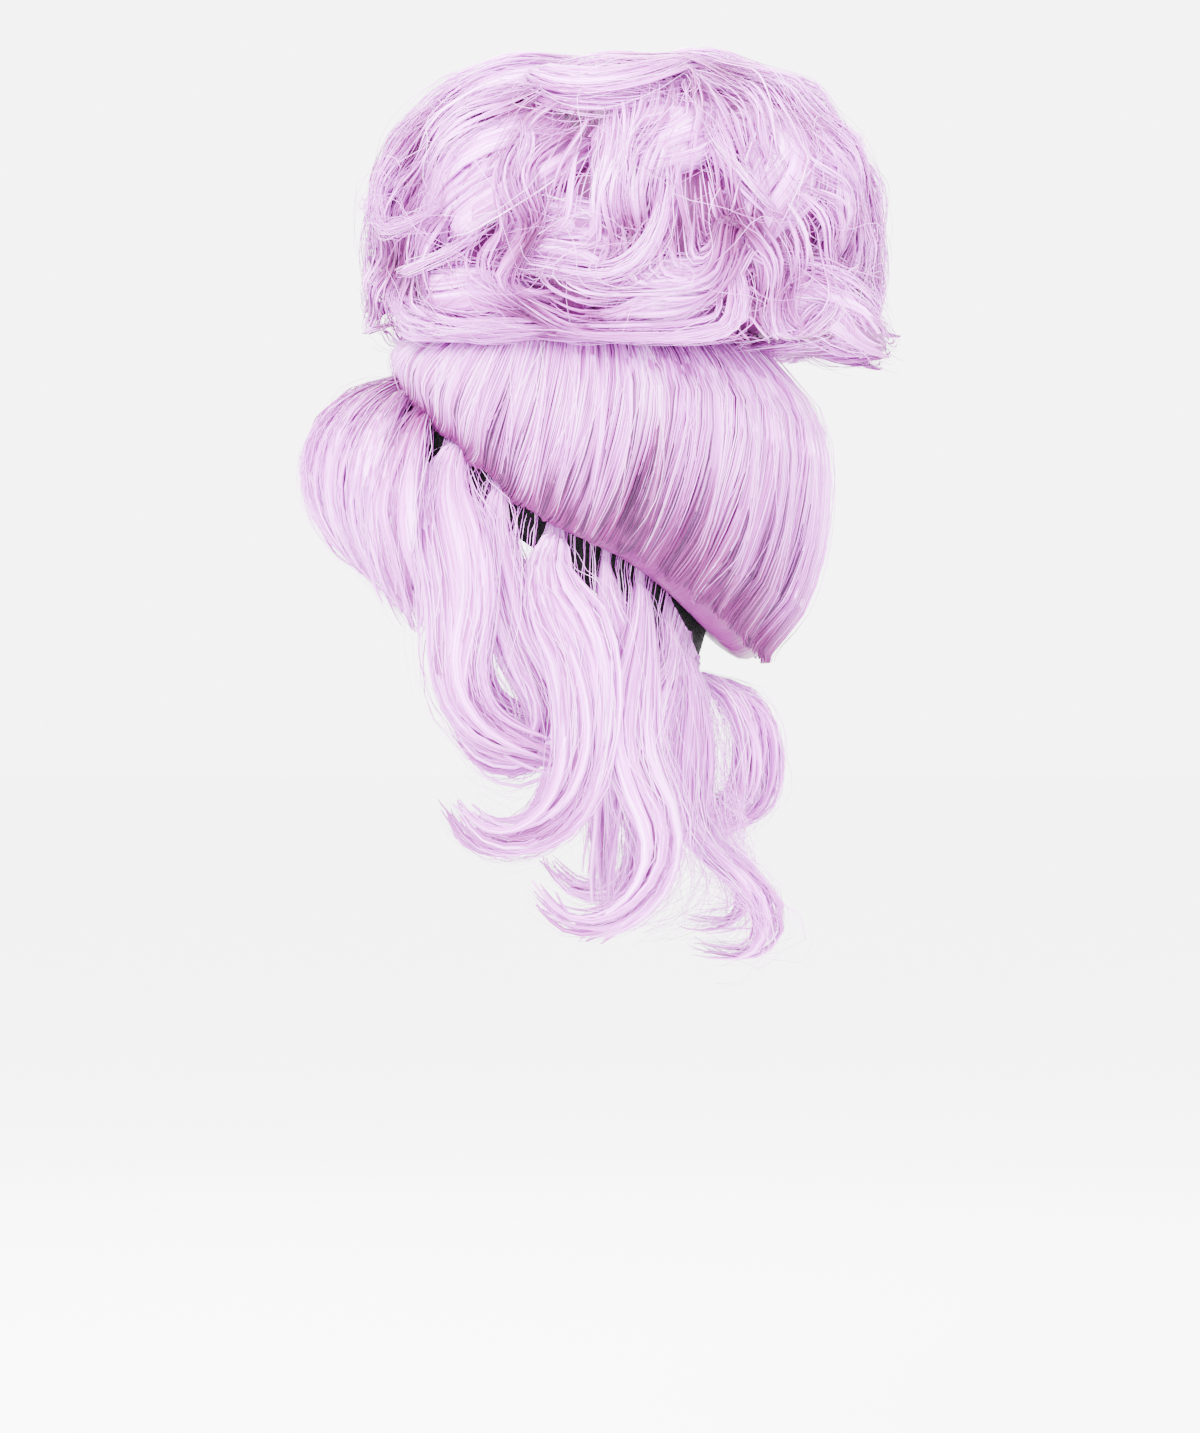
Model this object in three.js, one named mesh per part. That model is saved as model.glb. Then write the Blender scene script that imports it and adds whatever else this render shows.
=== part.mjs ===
// Updo costume wig: a stretch cap, a swept-up crown, a pile of curls on top, a fringe and hanging waves.
// Millimetres, +Z up. The face looks along -Y, and the wearer's left is +X.
// The origin is inside the cap, where it sits on the top of the head.
// An azimuth is 0 at the forehead, 90 at the left ear, 180 at the nape and -90 at the right ear.

import * as THREE from 'three';

// Sizes of the head that the cap fits
const headWidth = 152;
const headLength = 191;
const domeHeight = 94; // from the top of the head down to its widest level
const taperHeight = 150; // how slowly the head narrows below that level
const capDepth = 184; // from the top of the head down to the edge at the nape
const capWall = 1.6;

// Sizes of the swept-up crown
const sweepBulge = 56; // how far the crown stands off the head at the back
const sweepLayer = 9; // thickness of the layer of hair
const ribCount = 10;
const ribDepth = 1.4;

// Sizes of the bun
const bunLength = 276;
const bunWidth = 232;
const bunSetBack = 46; // its middle lies this far behind the top of the head
const bunWaist = 46; // height of its widest level
const bunTopHeight = 153;
const bunHang = 82; // from its widest level down to its lowest curls
const bunTopPower = 2.6; // 2 is an ellipse, and more is squarer
const bunSidePower = 4;
const curlWidth = 50;
const curlThickness = 17;

// Sizes of the fringe and the hanging locks
const fringeLocks = 7;
const fringeSpread = 96; // degrees of azimuth from the first root to the last
const fringeLength = 142;
const fringeThickness = 10;
const fringeClosure = 0.9; // how much of its share of the forehead a fringe lock fills
const fringeTipShare = 0.45; // the width left at a lock's tip
const lockLength = 229; // of the longest lock, behind the ear
const lockWidth = 36; // of the widest lock, at the temple
const lockThickness = 9;
const lockTipShare = 0.16;
const rootRise = 6; // from the knot on the cap to the lock's first full section

// Clearances
const seatGap = 0.3; // between pieces that touch
const facetGap = 0.3; // added where the facets of a piece follow a rounded surface below it

// Fineness of the faceted surfaces
const lockSides = 6;
const lockRings = 14;
const capSides = 40;
const capRings = 12;
const sweepSections = 40;
const sweepSteps = 10;
const padSides = 32;
const padRings = 9;

// The edges of the cap, a row for every 30 degrees from forehead to nape, as shares of capDepth:
// root is the line where the crown's hair is sewn on, and rim is the cap's own edge.
const edgeRows = [
  { root: 0.100, rim: 0.185 },
  { root: 0.120, rim: 0.230 },
  { root: 0.250, rim: 0.390 },
  { root: 0.490, rim: 0.585 },
  { root: 0.620, rim: 0.770 },
  { root: 0.772, rim: 0.965 },
  { root: 0.826, rim: 1.000 },
];

// The crown's outer outline, a row for every 30 degrees. Outs are shares of sweepBulge beyond the
// head's widest outline, depths are shares of capDepth, and rollDrop is counted from the root line.
const sweepRows = [
  { rollDrop: 0.011, rollOut: -0.59, flankOut: -0.50, flankDepth: 0.087,
    bulgeOut: -0.46, bulgeDepth: 0.065, shoulderOut: -0.45, shoulderDepth: 0.022, topOut: -0.64 },
  { rollDrop: 0.011, rollOut: -0.50, flankOut: -0.34, flankDepth: 0.103,
    bulgeOut: -0.30, bulgeDepth: 0.080, shoulderOut: -0.32, shoulderDepth: 0.030, topOut: -0.60 },
  { rollDrop: 0.016, rollOut: -0.12, flankOut: 0.03, flankDepth: 0.225,
    bulgeOut: 0.12, bulgeDepth: 0.165, shoulderOut: -0.06, shoulderDepth: 0.065, topOut: -0.44 },
  { rollDrop: 0.022, rollOut: 0.10, flankOut: 0.30, flankDepth: 0.430,
    bulgeOut: 0.40, bulgeDepth: 0.300, shoulderOut: 0.18, shoulderDepth: 0.105, topOut: -0.14 },
  { rollDrop: 0.033, rollOut: 0.15, flankOut: 0.42, flankDepth: 0.565,
    bulgeOut: 0.58, bulgeDepth: 0.350, shoulderOut: 0.46, shoulderDepth: 0.130, topOut: 0.00 },
  { rollDrop: 0.065, rollOut: 0.20, flankOut: 0.64, flankDepth: 0.700,
    bulgeOut: 0.83, bulgeDepth: 0.420, shoulderOut: 0.74, shoulderDepth: 0.175, topOut: 0.14 },
  { rollDrop: 0.092, rollOut: 0.26, flankOut: 0.80, flankDepth: 0.755,
    bulgeOut: 1.00, bulgeDepth: 0.450, shoulderOut: 0.89, shoulderDepth: 0.200, topOut: 0.23 },
];

// The curls of the bun. Each runs from one [azimuth, elevation] on the bun to another and bows
// sideways by bow and wave degrees. Widths, lifts and tip lifts are shares of curlWidth: lift raises
// the middle of the curl over what lies under it, and tipLift throws its end off the bun.
const curlRows = [
  { name: 'crest', from: [76, 67], to: [24, 31], bow: -3, wave: 0, width: 0.9, lift: 0, tipLift: 0 },
  { name: 'ridge', from: [106, 68], to: [152, 56], bow: 0, wave: 0, width: 0.85, lift: 0, tipLift: 0 },
  { name: 'brow', from: [76, 35], to: [38, -12], bow: -6, wave: 4, width: 0.94, lift: 0.01, tipLift: 0 },
  { name: 'middle', from: [106, 47], to: [85, 16], bow: 5, wave: 4, width: 0.9, lift: 0, tipLift: 0 },
  { name: 'shoulder', from: [129, 44], to: [121, -8], bow: 5, wave: 4, width: 0.92, lift: 0, tipLift: 0 },
  { name: 'outer', from: [155, 43], to: [149, -13], bow: 5, wave: 0, width: 0.86, lift: 0, tipLift: 0 },
  { name: 'cross', from: [57, -2], to: [104, -4], bow: 0, wave: 3, width: 0.7, lift: 0, tipLift: 0 },
  { name: 'low_front', from: [30, -25], to: [74, -28], bow: 4, wave: 0, width: 0.62, lift: 0, tipLift: 0 },
  { name: 'low_loop', from: [118, -23], to: [80, -33], bow: -5, wave: 0, width: 0.64, lift: 0.02, tipLift: 0 },
  { name: 'flick', from: [126, -20], to: [172, -36], bow: 5, wave: 0, width: 0.6, lift: 0, tipLift: 0.5 },
];
const middleCurlRows = [
  { name: 'front_curl', from: [0, 67], to: [0, -20], bow: 0, wave: 0, width: 0.8, lift: 0, tipLift: 0 },
  { name: 'back_curl', from: [180, 67], to: [180, -29], bow: 0, wave: 0, width: 0.82, lift: 0, tipLift: 0 },
];

// The hanging locks. weft is the share of the way from the crown's lower edge to the cap's rim, and
// length and width are shares of lockLength and lockWidth. swing and flare are headings in degrees
// at even steps down the lock: swing turns it towards the nape, and flare away from the head. The
// right-hand twin is longer by longer, and turns by turn.
const lockRows = [
  { name: 'temple_lock', azimuth: 65, weft: 0.15, length: 0.83, width: 1, longer: -0.09, turn: 0,
    swing: [-9, 15, 11, -6, 20, 66, 74], flare: [24, 12, 2, -2, -6] },
  { name: 'cheek_lock', azimuth: 80, weft: 0.1, length: 0.83, width: 0.61, longer: -0.06, turn: 5,
    swing: [-10, 10, 16, 26, -24, -115, -160], flare: [4, 2, -4, -4, 0] },
  { name: 'ear_lock', azimuth: 97, weft: 0.25, length: 0.882, width: 0.94, longer: 0.08, turn: -4,
    swing: [-20, 28, 8, -4, -27, -77, -145], flare: [24, 14, 8, 4, 0] },
  { name: 'neck_lock', azimuth: 112, weft: 0.15, length: 0.751, width: 0.61, longer: -0.08, turn: -2,
    swing: [-2, 18, -4, -12, 0, -2, 6], flare: [4, 0, -2, -4, -4] },
  { name: 'shoulder_lock', azimuth: 124, weft: 0.2, length: 1, width: 0.72, longer: -0.04, turn: 1,
    swing: [-14, -16, -2, 24, -31, -77, -142], flare: [25, 17, 8, 4, 0] },
  { name: 'collar_lock', azimuth: 137, weft: 0.25, length: 0.73, width: 0.61, longer: 0.02, turn: 2,
    swing: [4, -34, -8, 6, -4, -26, -60], flare: [4, 0, -4, -4, 0] },
  { name: 'corner_lock', azimuth: 151, weft: 0.35, length: 0.91, width: 0.67, longer: -0.05, turn: -2,
    swing: [-4, -6, -4, 0, 6, 10, 10], flare: [16, 4, 4, 55, 45, -70, -95] },
];
const napeRows = [
  { name: 'nape_lock_left', azimuth: 167, weft: 0.5, length: 0.489, width: 0.72,
    swing: [4, -6, 6, 10, 20, 20, 20], flare: [60, 48, 13, -10, -30, -73, -75] },
  { name: 'nape_lock_middle', azimuth: 180, weft: 0.6, length: 0.507, width: 0.72,
    swing: [0, 4, -4, -6, 6, 4, 4], flare: [74, 60, 26, 0, -20, -60, -70] },
  { name: 'nape_lock_right', azimuth: 193, weft: 0.5, length: 0.472, width: 0.72,
    swing: [-4, 6, -6, -10, -16, -20, -20], flare: [60, 50, 14, -12, -32, -73, -78] },
];

const cornerReach = 1 / Math.cos(Math.PI / lockSides);
const radians = THREE.MathUtils.degToRad;
const mix = THREE.MathUtils.lerp;
const DOWN = new THREE.Vector3(0, 0, -1);

// A smooth value between the entries of a list, at a place counted in entries. Past either end the
// list is mirrored, so that a table of half the head closes without a crease.
function smoothEntry(entries, place) {
  const last = entries.length - 1;
  const start = Math.min(Math.floor(place), last - 1);
  const entry = (i) => entries[i < 0 ? -i : i > last ? 2 * last - i : i];
  const [a, b, c, d] = [entry(start - 1), entry(start), entry(start + 1), entry(start + 2)];
  const t = place - start;
  const tangentIn = (c - a) / 2;
  const tangentOut = (d - b) / 2;
  return b + t * (tangentIn + t * (3 * (c - b) - 2 * tangentIn - tangentOut
    + t * (2 * (b - c) + tangentIn + tangentOut)));
}

// A column of a table that has evenly spaced rows from the forehead to the nape.
function readColumn(rows, column, azimuth) {
  const folded = Math.abs(((azimuth + 180) % 360 + 360) % 360 - 180);
  return smoothEntry(rows.map((row) => row[column]), folded / 180 * (rows.length - 1));
}

// A closed body through rings with the same number of points. Its ends close on one point each.
function skinRings(rings, startPoint, endPoint) {
  const sides = rings[0].length;
  const corners = [startPoint, ...rings.flat(), endPoint];
  const faces = [];
  const at = (ring, side) => 1 + ring * sides + side % sides;
  for (let side = 0; side < sides; side += 1) {
    faces.push([0, at(0, side + 1), at(0, side)]);
    for (let ring = 0; ring + 1 < rings.length; ring += 1) {
      faces.push([at(ring, side), at(ring, side + 1), at(ring + 1, side + 1)]);
      faces.push([at(ring, side), at(ring + 1, side + 1), at(ring + 1, side)]);
    }
    faces.push([corners.length - 1, at(rings.length - 1, side), at(rings.length - 1, side + 1)]);
  }
  return closedGeometry(corners, faces);
}

// A closed body through sections that lead round to the first one again.
function skinLoop(sections) {
  const sides = sections[0].length;
  const at = (section, side) => (section % sections.length) * sides + side % sides;
  const faces = [];
  for (let section = 0; section < sections.length; section += 1) {
    for (let side = 0; side < sides; side += 1) {
      faces.push([at(section, side), at(section, side + 1), at(section + 1, side + 1)]);
      faces.push([at(section, side), at(section + 1, side + 1), at(section + 1, side)]);
    }
  }
  return closedGeometry(sections.flat(), faces);
}

// Corners and faces as a geometry whose faces point out, whichever way round they were listed.
function closedGeometry(corners, faces) {
  const volume = faces.reduce((sum, [a, b, c]) => (
    sum + corners[a].dot(new THREE.Vector3().crossVectors(corners[b], corners[c]))), 0);
  const outward = volume < 0 ? faces.map(([a, b, c]) => [a, c, b]) : faces;
  const geometry = new THREE.BufferGeometry().setFromPoints(corners);
  geometry.setIndex(outward.flat());
  geometry.computeVertexNormals();
  return geometry;
}

// How much narrower than its widest level the head is at a height. grow is the distance outside it.
function levelShare(height, grow) {
  const above = height + domeHeight;
  const reach = (above > 0 ? domeHeight : taperHeight) + grow;
  return Math.sqrt(Math.max(0, 1 - (above / reach) ** 2));
}

function headPoint(azimuth, height, grow) {
  const angle = radians(azimuth);
  const share = levelShare(height, grow);
  return new THREE.Vector3(
    (headWidth / 2 + grow) * share * Math.sin(angle),
    -(headLength / 2 + grow) * share * Math.cos(angle),
    height,
  );
}

// The level direction at a point that leads straight away from the head.
function outwardAt(point) {
  return new THREE.Vector3(point.x / headWidth ** 2, point.y / headLength ** 2, 0).normalize();
}

// How far a head's surface lies outside the outline of its widest level, which is mostly negative.
function headOut(azimuth, height, grow) {
  const outline = headPoint(azimuth, -domeHeight, 0);
  const widest = outline.dot(outwardAt(outline));
  return (widest + grow) * levelShare(height, grow) - widest;
}

// The cap, a thin dome that is open below and cut higher over the forehead and the ears.
function capGeometry() {
  const surface = (grow) => {
    const rings = [];
    for (let ring = 1; ring <= capRings; ring += 1) {
      rings.push(Array.from({ length: capSides }, (_, side) => {
        const azimuth = side / capSides * 360;
        const above = domeHeight - readColumn(edgeRows, 'rim', azimuth) * capDepth;
        const rimAngle = Math.acos(above / (above > 0 ? domeHeight : taperHeight));
        const cosine = Math.cos(rimAngle * ring / capRings);
        const reach = (cosine > 0 ? domeHeight : taperHeight) + grow;
        return headPoint(azimuth, cosine * reach - domeHeight, grow);
      }));
    }
    return rings;
  };
  const top = (grow) => new THREE.Vector3(0, 0, grow);
  return skinRings([...surface(capWall), ...surface(0).reverse()], top(capWall), top(0));
}

// The crown's outer outline at one azimuth, as points of [out, height], from its root to its top.
function sweepOutline(azimuth) {
  const at = (column) => readColumn(sweepRows, column, azimuth);
  const rootHeight = -readColumn(edgeRows, 'root', azimuth) * capDepth;
  const rootOut = headOut(azimuth, rootHeight, capWall) + seatGap + facetGap;
  return new THREE.SplineCurve([
    new THREE.Vector2(rootOut, rootHeight),
    new THREE.Vector2(at('rollOut') * sweepBulge, rootHeight - at('rollDrop') * capDepth),
    new THREE.Vector2(at('flankOut') * sweepBulge, -at('flankDepth') * capDepth),
    new THREE.Vector2(at('bulgeOut') * sweepBulge, -at('bulgeDepth') * capDepth),
    new THREE.Vector2(at('shoulderOut') * sweepBulge, -at('shoulderDepth') * capDepth),
    new THREE.Vector2(at('topOut') * sweepBulge, capWall),
  ]);
}

// The crown: a layer of hair that leaves the cap at the root line and closes in under the bun.
function sweepGeometry() {
  const sections = [];
  for (let section = 0; section < sweepSections; section += 1) {
    const azimuth = section / sweepSections * 360;
    const outline = sweepOutline(azimuth);
    const outer = [];
    const inner = [];
    for (let step = 0; step <= sweepSteps; step += 1) {
      const share = step / sweepSteps;
      const point = outline.getPoint(share);
      const tangent = outline.getTangent(share);
      const clearOut = headOut(azimuth, point.y, capWall) + seatGap + facetGap;
      const rib = ribDepth * Math.sin(share * Math.PI) * Math.cos(radians(azimuth * ribCount));
      outer.push(new THREE.Vector2(Math.max(point.x + rib, clearOut), point.y));
      const depth = sweepLayer * Math.min(1, 0.25 + share * 4);
      const height = Math.min(point.y + tangent.x * depth, capWall);
      const innerClear = headOut(azimuth, height, capWall) + seatGap + facetGap;
      inner.push(new THREE.Vector2(Math.max(point.x - tangent.y * depth, innerClear), height));
    }
    const widest = headPoint(azimuth, -domeHeight, 0);
    const outward = outwardAt(widest);
    sections.push([...outer, ...inner.slice(1).reverse()].map(({ x: out, y: height }) => (
      widest.clone().addScaledVector(outward, out).setZ(height))));
  }
  return skinLoop(sections);
}

// A point on the bun at a direction, inset from its outside. The bun is rounded above and squarer
// below, where its curls hang over the crown.
function bunPoint(direction, inset) {
  const power = direction.z > 0 ? bunTopPower : bunSidePower;
  const level = Math.hypot(direction.x, direction.y);
  const reach = (level ** power + Math.abs(direction.z) ** power) ** (-1 / power);
  const halfHeight = direction.z > 0 ? bunTopHeight - bunWaist : bunHang;
  return new THREE.Vector3(
    direction.x * reach * (bunWidth / 2 - inset),
    direction.y * reach * (bunLength / 2 - inset) + bunSetBack,
    direction.z * reach * (halfHeight - inset) + bunWaist,
  );
}

function bunDirection([azimuth, elevation]) {
  const [angle, rise] = [radians(azimuth), radians(elevation)];
  return new THREE.Vector3(
    Math.sin(angle) * Math.cos(rise), -Math.cos(angle) * Math.cos(rise), Math.sin(rise));
}

const padInset = curlThickness + seatGap + facetGap;

// The pad of teased hair in the middle of the bun, flat where it sits on the crown.
function padGeometry() {
  const seatHeight = capWall + seatGap;
  const fall = (bunWaist - seatHeight) / (bunHang - padInset);
  const seatLevel = (1 - fall ** bunSidePower) ** (1 / bunSidePower);
  const lowest = -THREE.MathUtils.radToDeg(Math.atan2(fall, seatLevel));
  const rings = Array.from({ length: padRings }, (_, ring) => {
    const elevation = mix(lowest, 90, ring / padRings);
    return Array.from({ length: padSides }, (_unused, side) => (
      bunPoint(bunDirection([side / padSides * 360, elevation]), padInset)));
  });
  const bottom = new THREE.Vector3(0, bunSetBack, rings[0][0].z);
  return skinRings(rings, bottom, bunPoint(new THREE.Vector3(0, 0, 1), padInset));
}

// A lock through stations, each with a middle, a half width and a half thickness as vectors. It has
// corners at its edges, and flats above and below.
function lockGeometry(stations, rootPoint, tipPoint) {
  const rings = stations.map(({ middle, width, thickness }) => (
    Array.from({ length: lockSides }, (_, side) => {
      const angle = side / lockSides * 2 * Math.PI;
      return middle.clone()
        .addScaledVector(width, Math.cos(angle))
        .addScaledVector(thickness, Math.sin(angle) * cornerReach);
    })));
  return skinRings(rings, rootPoint, tipPoint);
}

// How full a curl is along its length: both of its ends tuck in.
function curlFullness(share) {
  return mix(0.25, 1, Math.sin(Math.PI * mix(0.05, 0.95, share)) ** 0.5);
}

// A curl that lies on the pad, from one direction on the bun to another.
function curlGeometry(row, side) {
  const mirrored = ([azimuth, elevation]) => bunDirection([side * azimuth, elevation]);
  const [from, to] = [mirrored(row.from), mirrored(row.to)];
  const across = new THREE.Vector3().crossVectors(from, to).normalize();
  const angle = from.angleTo(to);
  const stationAt = (share) => {
    const bow = side * radians(row.bow) * Math.sin(Math.PI * share)
      + side * radians(row.wave) * Math.sin(2 * Math.PI * share);
    const direction = from.clone().applyAxisAngle(across, angle * share)
      .addScaledVector(across, Math.tan(bow)).normalize();
    const half = curlThickness / 2 * curlFullness(share);
    const lift = curlWidth * (row.lift * Math.sin(Math.PI * share) ** 2 + row.tipLift * share ** 3);
    return { direction, half, middle: bunPoint(direction, padInset - seatGap - facetGap - half - lift) };
  };
  const nudge = 1e-3;
  const stations = [];
  for (let ring = 0; ring < lockRings; ring += 1) {
    const share = mix(nudge, 1 - nudge, ring / (lockRings - 1));
    const { direction, half, middle } = stationAt(share);
    const along = stationAt(share + nudge).middle.sub(stationAt(share - nudge).middle).normalize();
    const outward = bunPoint(direction, 0).sub(bunPoint(direction, curlThickness));
    const across2 = new THREE.Vector3().crossVectors(along, outward).normalize();
    const thickness = new THREE.Vector3().crossVectors(across2, along).multiplyScalar(half);
    const width = across2.multiplyScalar(row.width * curlWidth / 2 * curlFullness(share));
    stations.push({ middle, width, thickness, along });
  }
  const [first, last] = [stations[0], stations.at(-1)];
  const root = first.middle.clone().addScaledVector(first.along, -rootRise / 2);
  const tip = last.middle.clone().addScaledVector(last.along, rootRise / 2);
  return lockGeometry(stations, root, tip);
}

// How full a hanging lock is: gathered at its knot, widest in its upper half, thin at its tip.
function lockFullness(share, tipShare) {
  return Math.min(1, mix(0.55, 1, share * 5)) * mix(1, tipShare, share ** 2.2);
}

// A lock that hangs from a knot on the cap and follows its headings down and round the head.
function hangingGeometry(row) {
  const weftTop = readColumn(edgeRows, 'root', row.azimuth)
    + readColumn(sweepRows, 'rollDrop', row.azimuth);
  const depth = mix(weftTop, readColumn(edgeRows, 'rim', row.azimuth), row.weft) * capDepth;
  const knot = headPoint(row.azimuth, -depth, capWall);
  const root = knot.clone().addScaledVector(outwardAt(knot), seatGap);
  const headingAt = (share, point) => {
    const swing = radians(smoothEntry(row.swing, share * (row.swing.length - 1)));
    const flare = radians(smoothEntry(row.flare, share * (row.flare.length - 1)));
    const outward = outwardAt(point);
    const backward = new THREE.Vector3().crossVectors(outward, DOWN).multiplyScalar(row.side);
    const fall = DOWN.clone().multiplyScalar(Math.cos(swing)).addScaledVector(backward, Math.sin(swing));
    const along = fall.clone().multiplyScalar(Math.cos(flare)).addScaledVector(outward, Math.sin(flare));
    const away = outward.clone().multiplyScalar(Math.cos(flare)).addScaledVector(fall, -Math.sin(flare));
    return { along, away, across: new THREE.Vector3().crossVectors(along, away) };
  };
  const halfThickness = (share) => row.thickness / 2 * lockFullness(share, row.tipShare);
  const start = headingAt(0, root);
  const middle = root.clone()
    .addScaledVector(start.along, rootRise)
    .addScaledVector(start.away, halfThickness(0) + seatGap);
  const stations = [];
  const substeps = 6;
  for (let ring = 0; ring < lockRings; ring += 1) {
    const share = ring / (lockRings - 1);
    const { along, away, across } = headingAt(share, middle);
    const halfWidth = row.halfWidthAt ? row.halfWidthAt(middle) : row.width / 2;
    stations.push({
      middle: middle.clone(),
      width: across.multiplyScalar(halfWidth * lockFullness(share, row.tipShare)),
      thickness: away.multiplyScalar(halfThickness(share)),
      along,
    });
    for (let substep = 0; substep < substeps; substep += 1) {
      const stepLength = row.length / (lockRings - 1) / substeps;
      const stepShare = Math.min(1, share + (substep + 0.5) / substeps / (lockRings - 1));
      middle.addScaledVector(headingAt(stepShare, middle).along, stepLength);
    }
  }
  const last = stations.at(-1);
  return lockGeometry(stations, root, last.middle.clone().addScaledVector(last.along, rootRise));
}

// The fringe: locks that fan out over the forehead, arch forward and turn in towards the brow.
function fringeRow(index) {
  const step = fringeSpread / (fringeLocks - 1);
  const azimuth = (index - (fringeLocks - 1) / 2) * step;
  const aside = Math.abs(azimuth) / (fringeSpread / 2);
  return {
    azimuth,
    side: 1,
    weft: 0.16,
    length: fringeLength * mix(1, 0.84, aside),
    thickness: fringeThickness,
    tipShare: fringeTipShare,
    swing: [0, 0, 0, 0, 0],
    flare: [74, 47, 0, -38, -58].map((heading) => heading * mix(1, 0.62, aside)),
    halfWidthAt: (middle) => Math.hypot(middle.x, middle.y) * Math.tan(radians(step / 2)) * fringeClosure,
  };
}

const hairMaterial = new THREE.MeshStandardMaterial({ color: 0xd9b3e6, roughness: 0.42, metalness: 0 });
const padMaterial = new THREE.MeshStandardMaterial({ color: 0xbf8fd0, roughness: 0.7, metalness: 0 });
const capMaterial = new THREE.MeshStandardMaterial({ color: 0x17161a, roughness: 0.85, metalness: 0 });

const wig = new THREE.Group();
const hangingSizes = { thickness: lockThickness, tipShare: lockTipShare };

function addPiece(name, geometry, material = hairMaterial) {
  const mesh = new THREE.Mesh(geometry, material);
  mesh.name = name;
  wig.add(mesh);
}

addPiece('wig_cap', capGeometry(), capMaterial);
addPiece('crown_sweep', sweepGeometry());
addPiece('bun_pad', padGeometry(), padMaterial);

for (const { label, side } of [{ label: 'left', side: 1 }, { label: 'right', side: -1 }]) {
  for (const row of curlRows) {
    addPiece(`bun_${row.name}_${label}`, curlGeometry(row, side));
  }
  for (const row of lockRows) {
    const twin = side < 0;
    addPiece(`${row.name}_${label}`, hangingGeometry({
      ...row,
      ...hangingSizes,
      side,
      azimuth: side * row.azimuth,
      length: row.length * lockLength * (twin ? 1 + row.longer : 1),
      width: row.width * lockWidth,
      swing: row.swing.map((heading) => heading + (twin ? row.turn : 0)),
    }));
  }
}
for (const row of middleCurlRows) {
  addPiece(`bun_${row.name}`, curlGeometry(row, 1));
}
for (const row of napeRows) {
  addPiece(row.name, hangingGeometry({
    ...row,
    ...hangingSizes,
    side: 1,
    length: row.length * lockLength,
    width: row.width * lockWidth,
  }));
}
for (let index = 0; index < fringeLocks; index += 1) {
  addPiece(`fringe_lock_${index + 1}`, hangingGeometry(fringeRow(index)));
}

export default wig;
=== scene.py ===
# %% [markdown]
# # A lilac updo wig
# The wig is a black stretch cap with a swept-up crown, a tall bun of loose curls, a fringe and
# hanging waves, all of shiny synthetic hair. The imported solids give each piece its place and
# its form. This script dresses each of them in bundles and fine strands of hair.

import bmesh
import bpy
import numpy as np
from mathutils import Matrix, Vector
from mathutils.bvhtree import BVHTree


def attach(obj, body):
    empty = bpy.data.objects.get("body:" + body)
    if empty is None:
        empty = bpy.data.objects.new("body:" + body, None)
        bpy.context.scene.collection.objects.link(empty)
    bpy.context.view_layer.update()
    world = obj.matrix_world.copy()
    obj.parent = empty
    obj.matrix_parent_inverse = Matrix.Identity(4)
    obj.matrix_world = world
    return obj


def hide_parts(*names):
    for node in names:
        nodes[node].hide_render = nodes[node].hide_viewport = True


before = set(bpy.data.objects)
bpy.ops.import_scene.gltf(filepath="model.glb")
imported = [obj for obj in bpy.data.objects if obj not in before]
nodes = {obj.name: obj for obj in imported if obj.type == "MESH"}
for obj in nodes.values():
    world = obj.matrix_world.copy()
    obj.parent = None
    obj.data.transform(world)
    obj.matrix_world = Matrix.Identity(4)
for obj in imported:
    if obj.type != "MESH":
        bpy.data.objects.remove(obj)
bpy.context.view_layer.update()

# %% [markdown]
# ## Materials as expressions
# A material is a graph of nodes, and wiring it node by node is long to write and hard to read.
# A small class that wraps a socket lets the graph be written as sums and products instead.

# %% A socket that does arithmetic
class Socket:
    """An output of a shader node. Arithmetic on it adds Math nodes."""

    def __init__(self, tree, output):
        self.tree = tree
        self.output = output

    def math(self, operation, *values, clamp=False):
        node = self.tree.nodes.new("ShaderNodeMath")
        node.operation = operation
        node.use_clamp = clamp
        for place, value in enumerate(values):
            plug(self.tree, value, node.inputs[place])
        return Socket(self.tree, node.outputs[0])

    def __add__(self, other):
        return self.math("ADD", self, other)

    def __sub__(self, other):
        return self.math("SUBTRACT", self, other)

    def __mul__(self, other):
        return self.math("MULTIPLY", self, other)

    def __rsub__(self, other):
        return self.math("SUBTRACT", other, self)

    __radd__ = __add__
    __rmul__ = __mul__

    def clamped(self):
        return self.math("ADD", self, 0.0, clamp=True)


def plug(tree, value, socket):
    """Link a Socket to an input, or set the input to a plain value."""
    if isinstance(value, Socket):
        tree.links.new(value.output, socket)
    else:
        socket.default_value = value


def new_material(name):
    """A material with only an output and a Principled shader."""
    material = bpy.data.materials.new(name)
    material.use_nodes = True
    return material, material.node_tree, material.node_tree.nodes["Principled BSDF"]


def add_node(tree, kind, settings=None, inputs=None, output=0):
    """Add a node, set its settings first and its sockets next, and give back one output."""
    node = tree.nodes.new(kind)
    for setting, value in (settings or {}).items():
        setattr(node, setting, value)
    for socket, value in (inputs or {}).items():
        plug(tree, value, node.inputs[socket])
    return Socket(tree, node.outputs[output])


def blend_colours(tree, factor, low, high):
    """Mix two colours by a factor from 0 to 1."""
    return add_node(tree, "ShaderNodeMix", {"data_type": "RGBA"},
                    {0: factor, 6: low, 7: high}, output=2)

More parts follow.
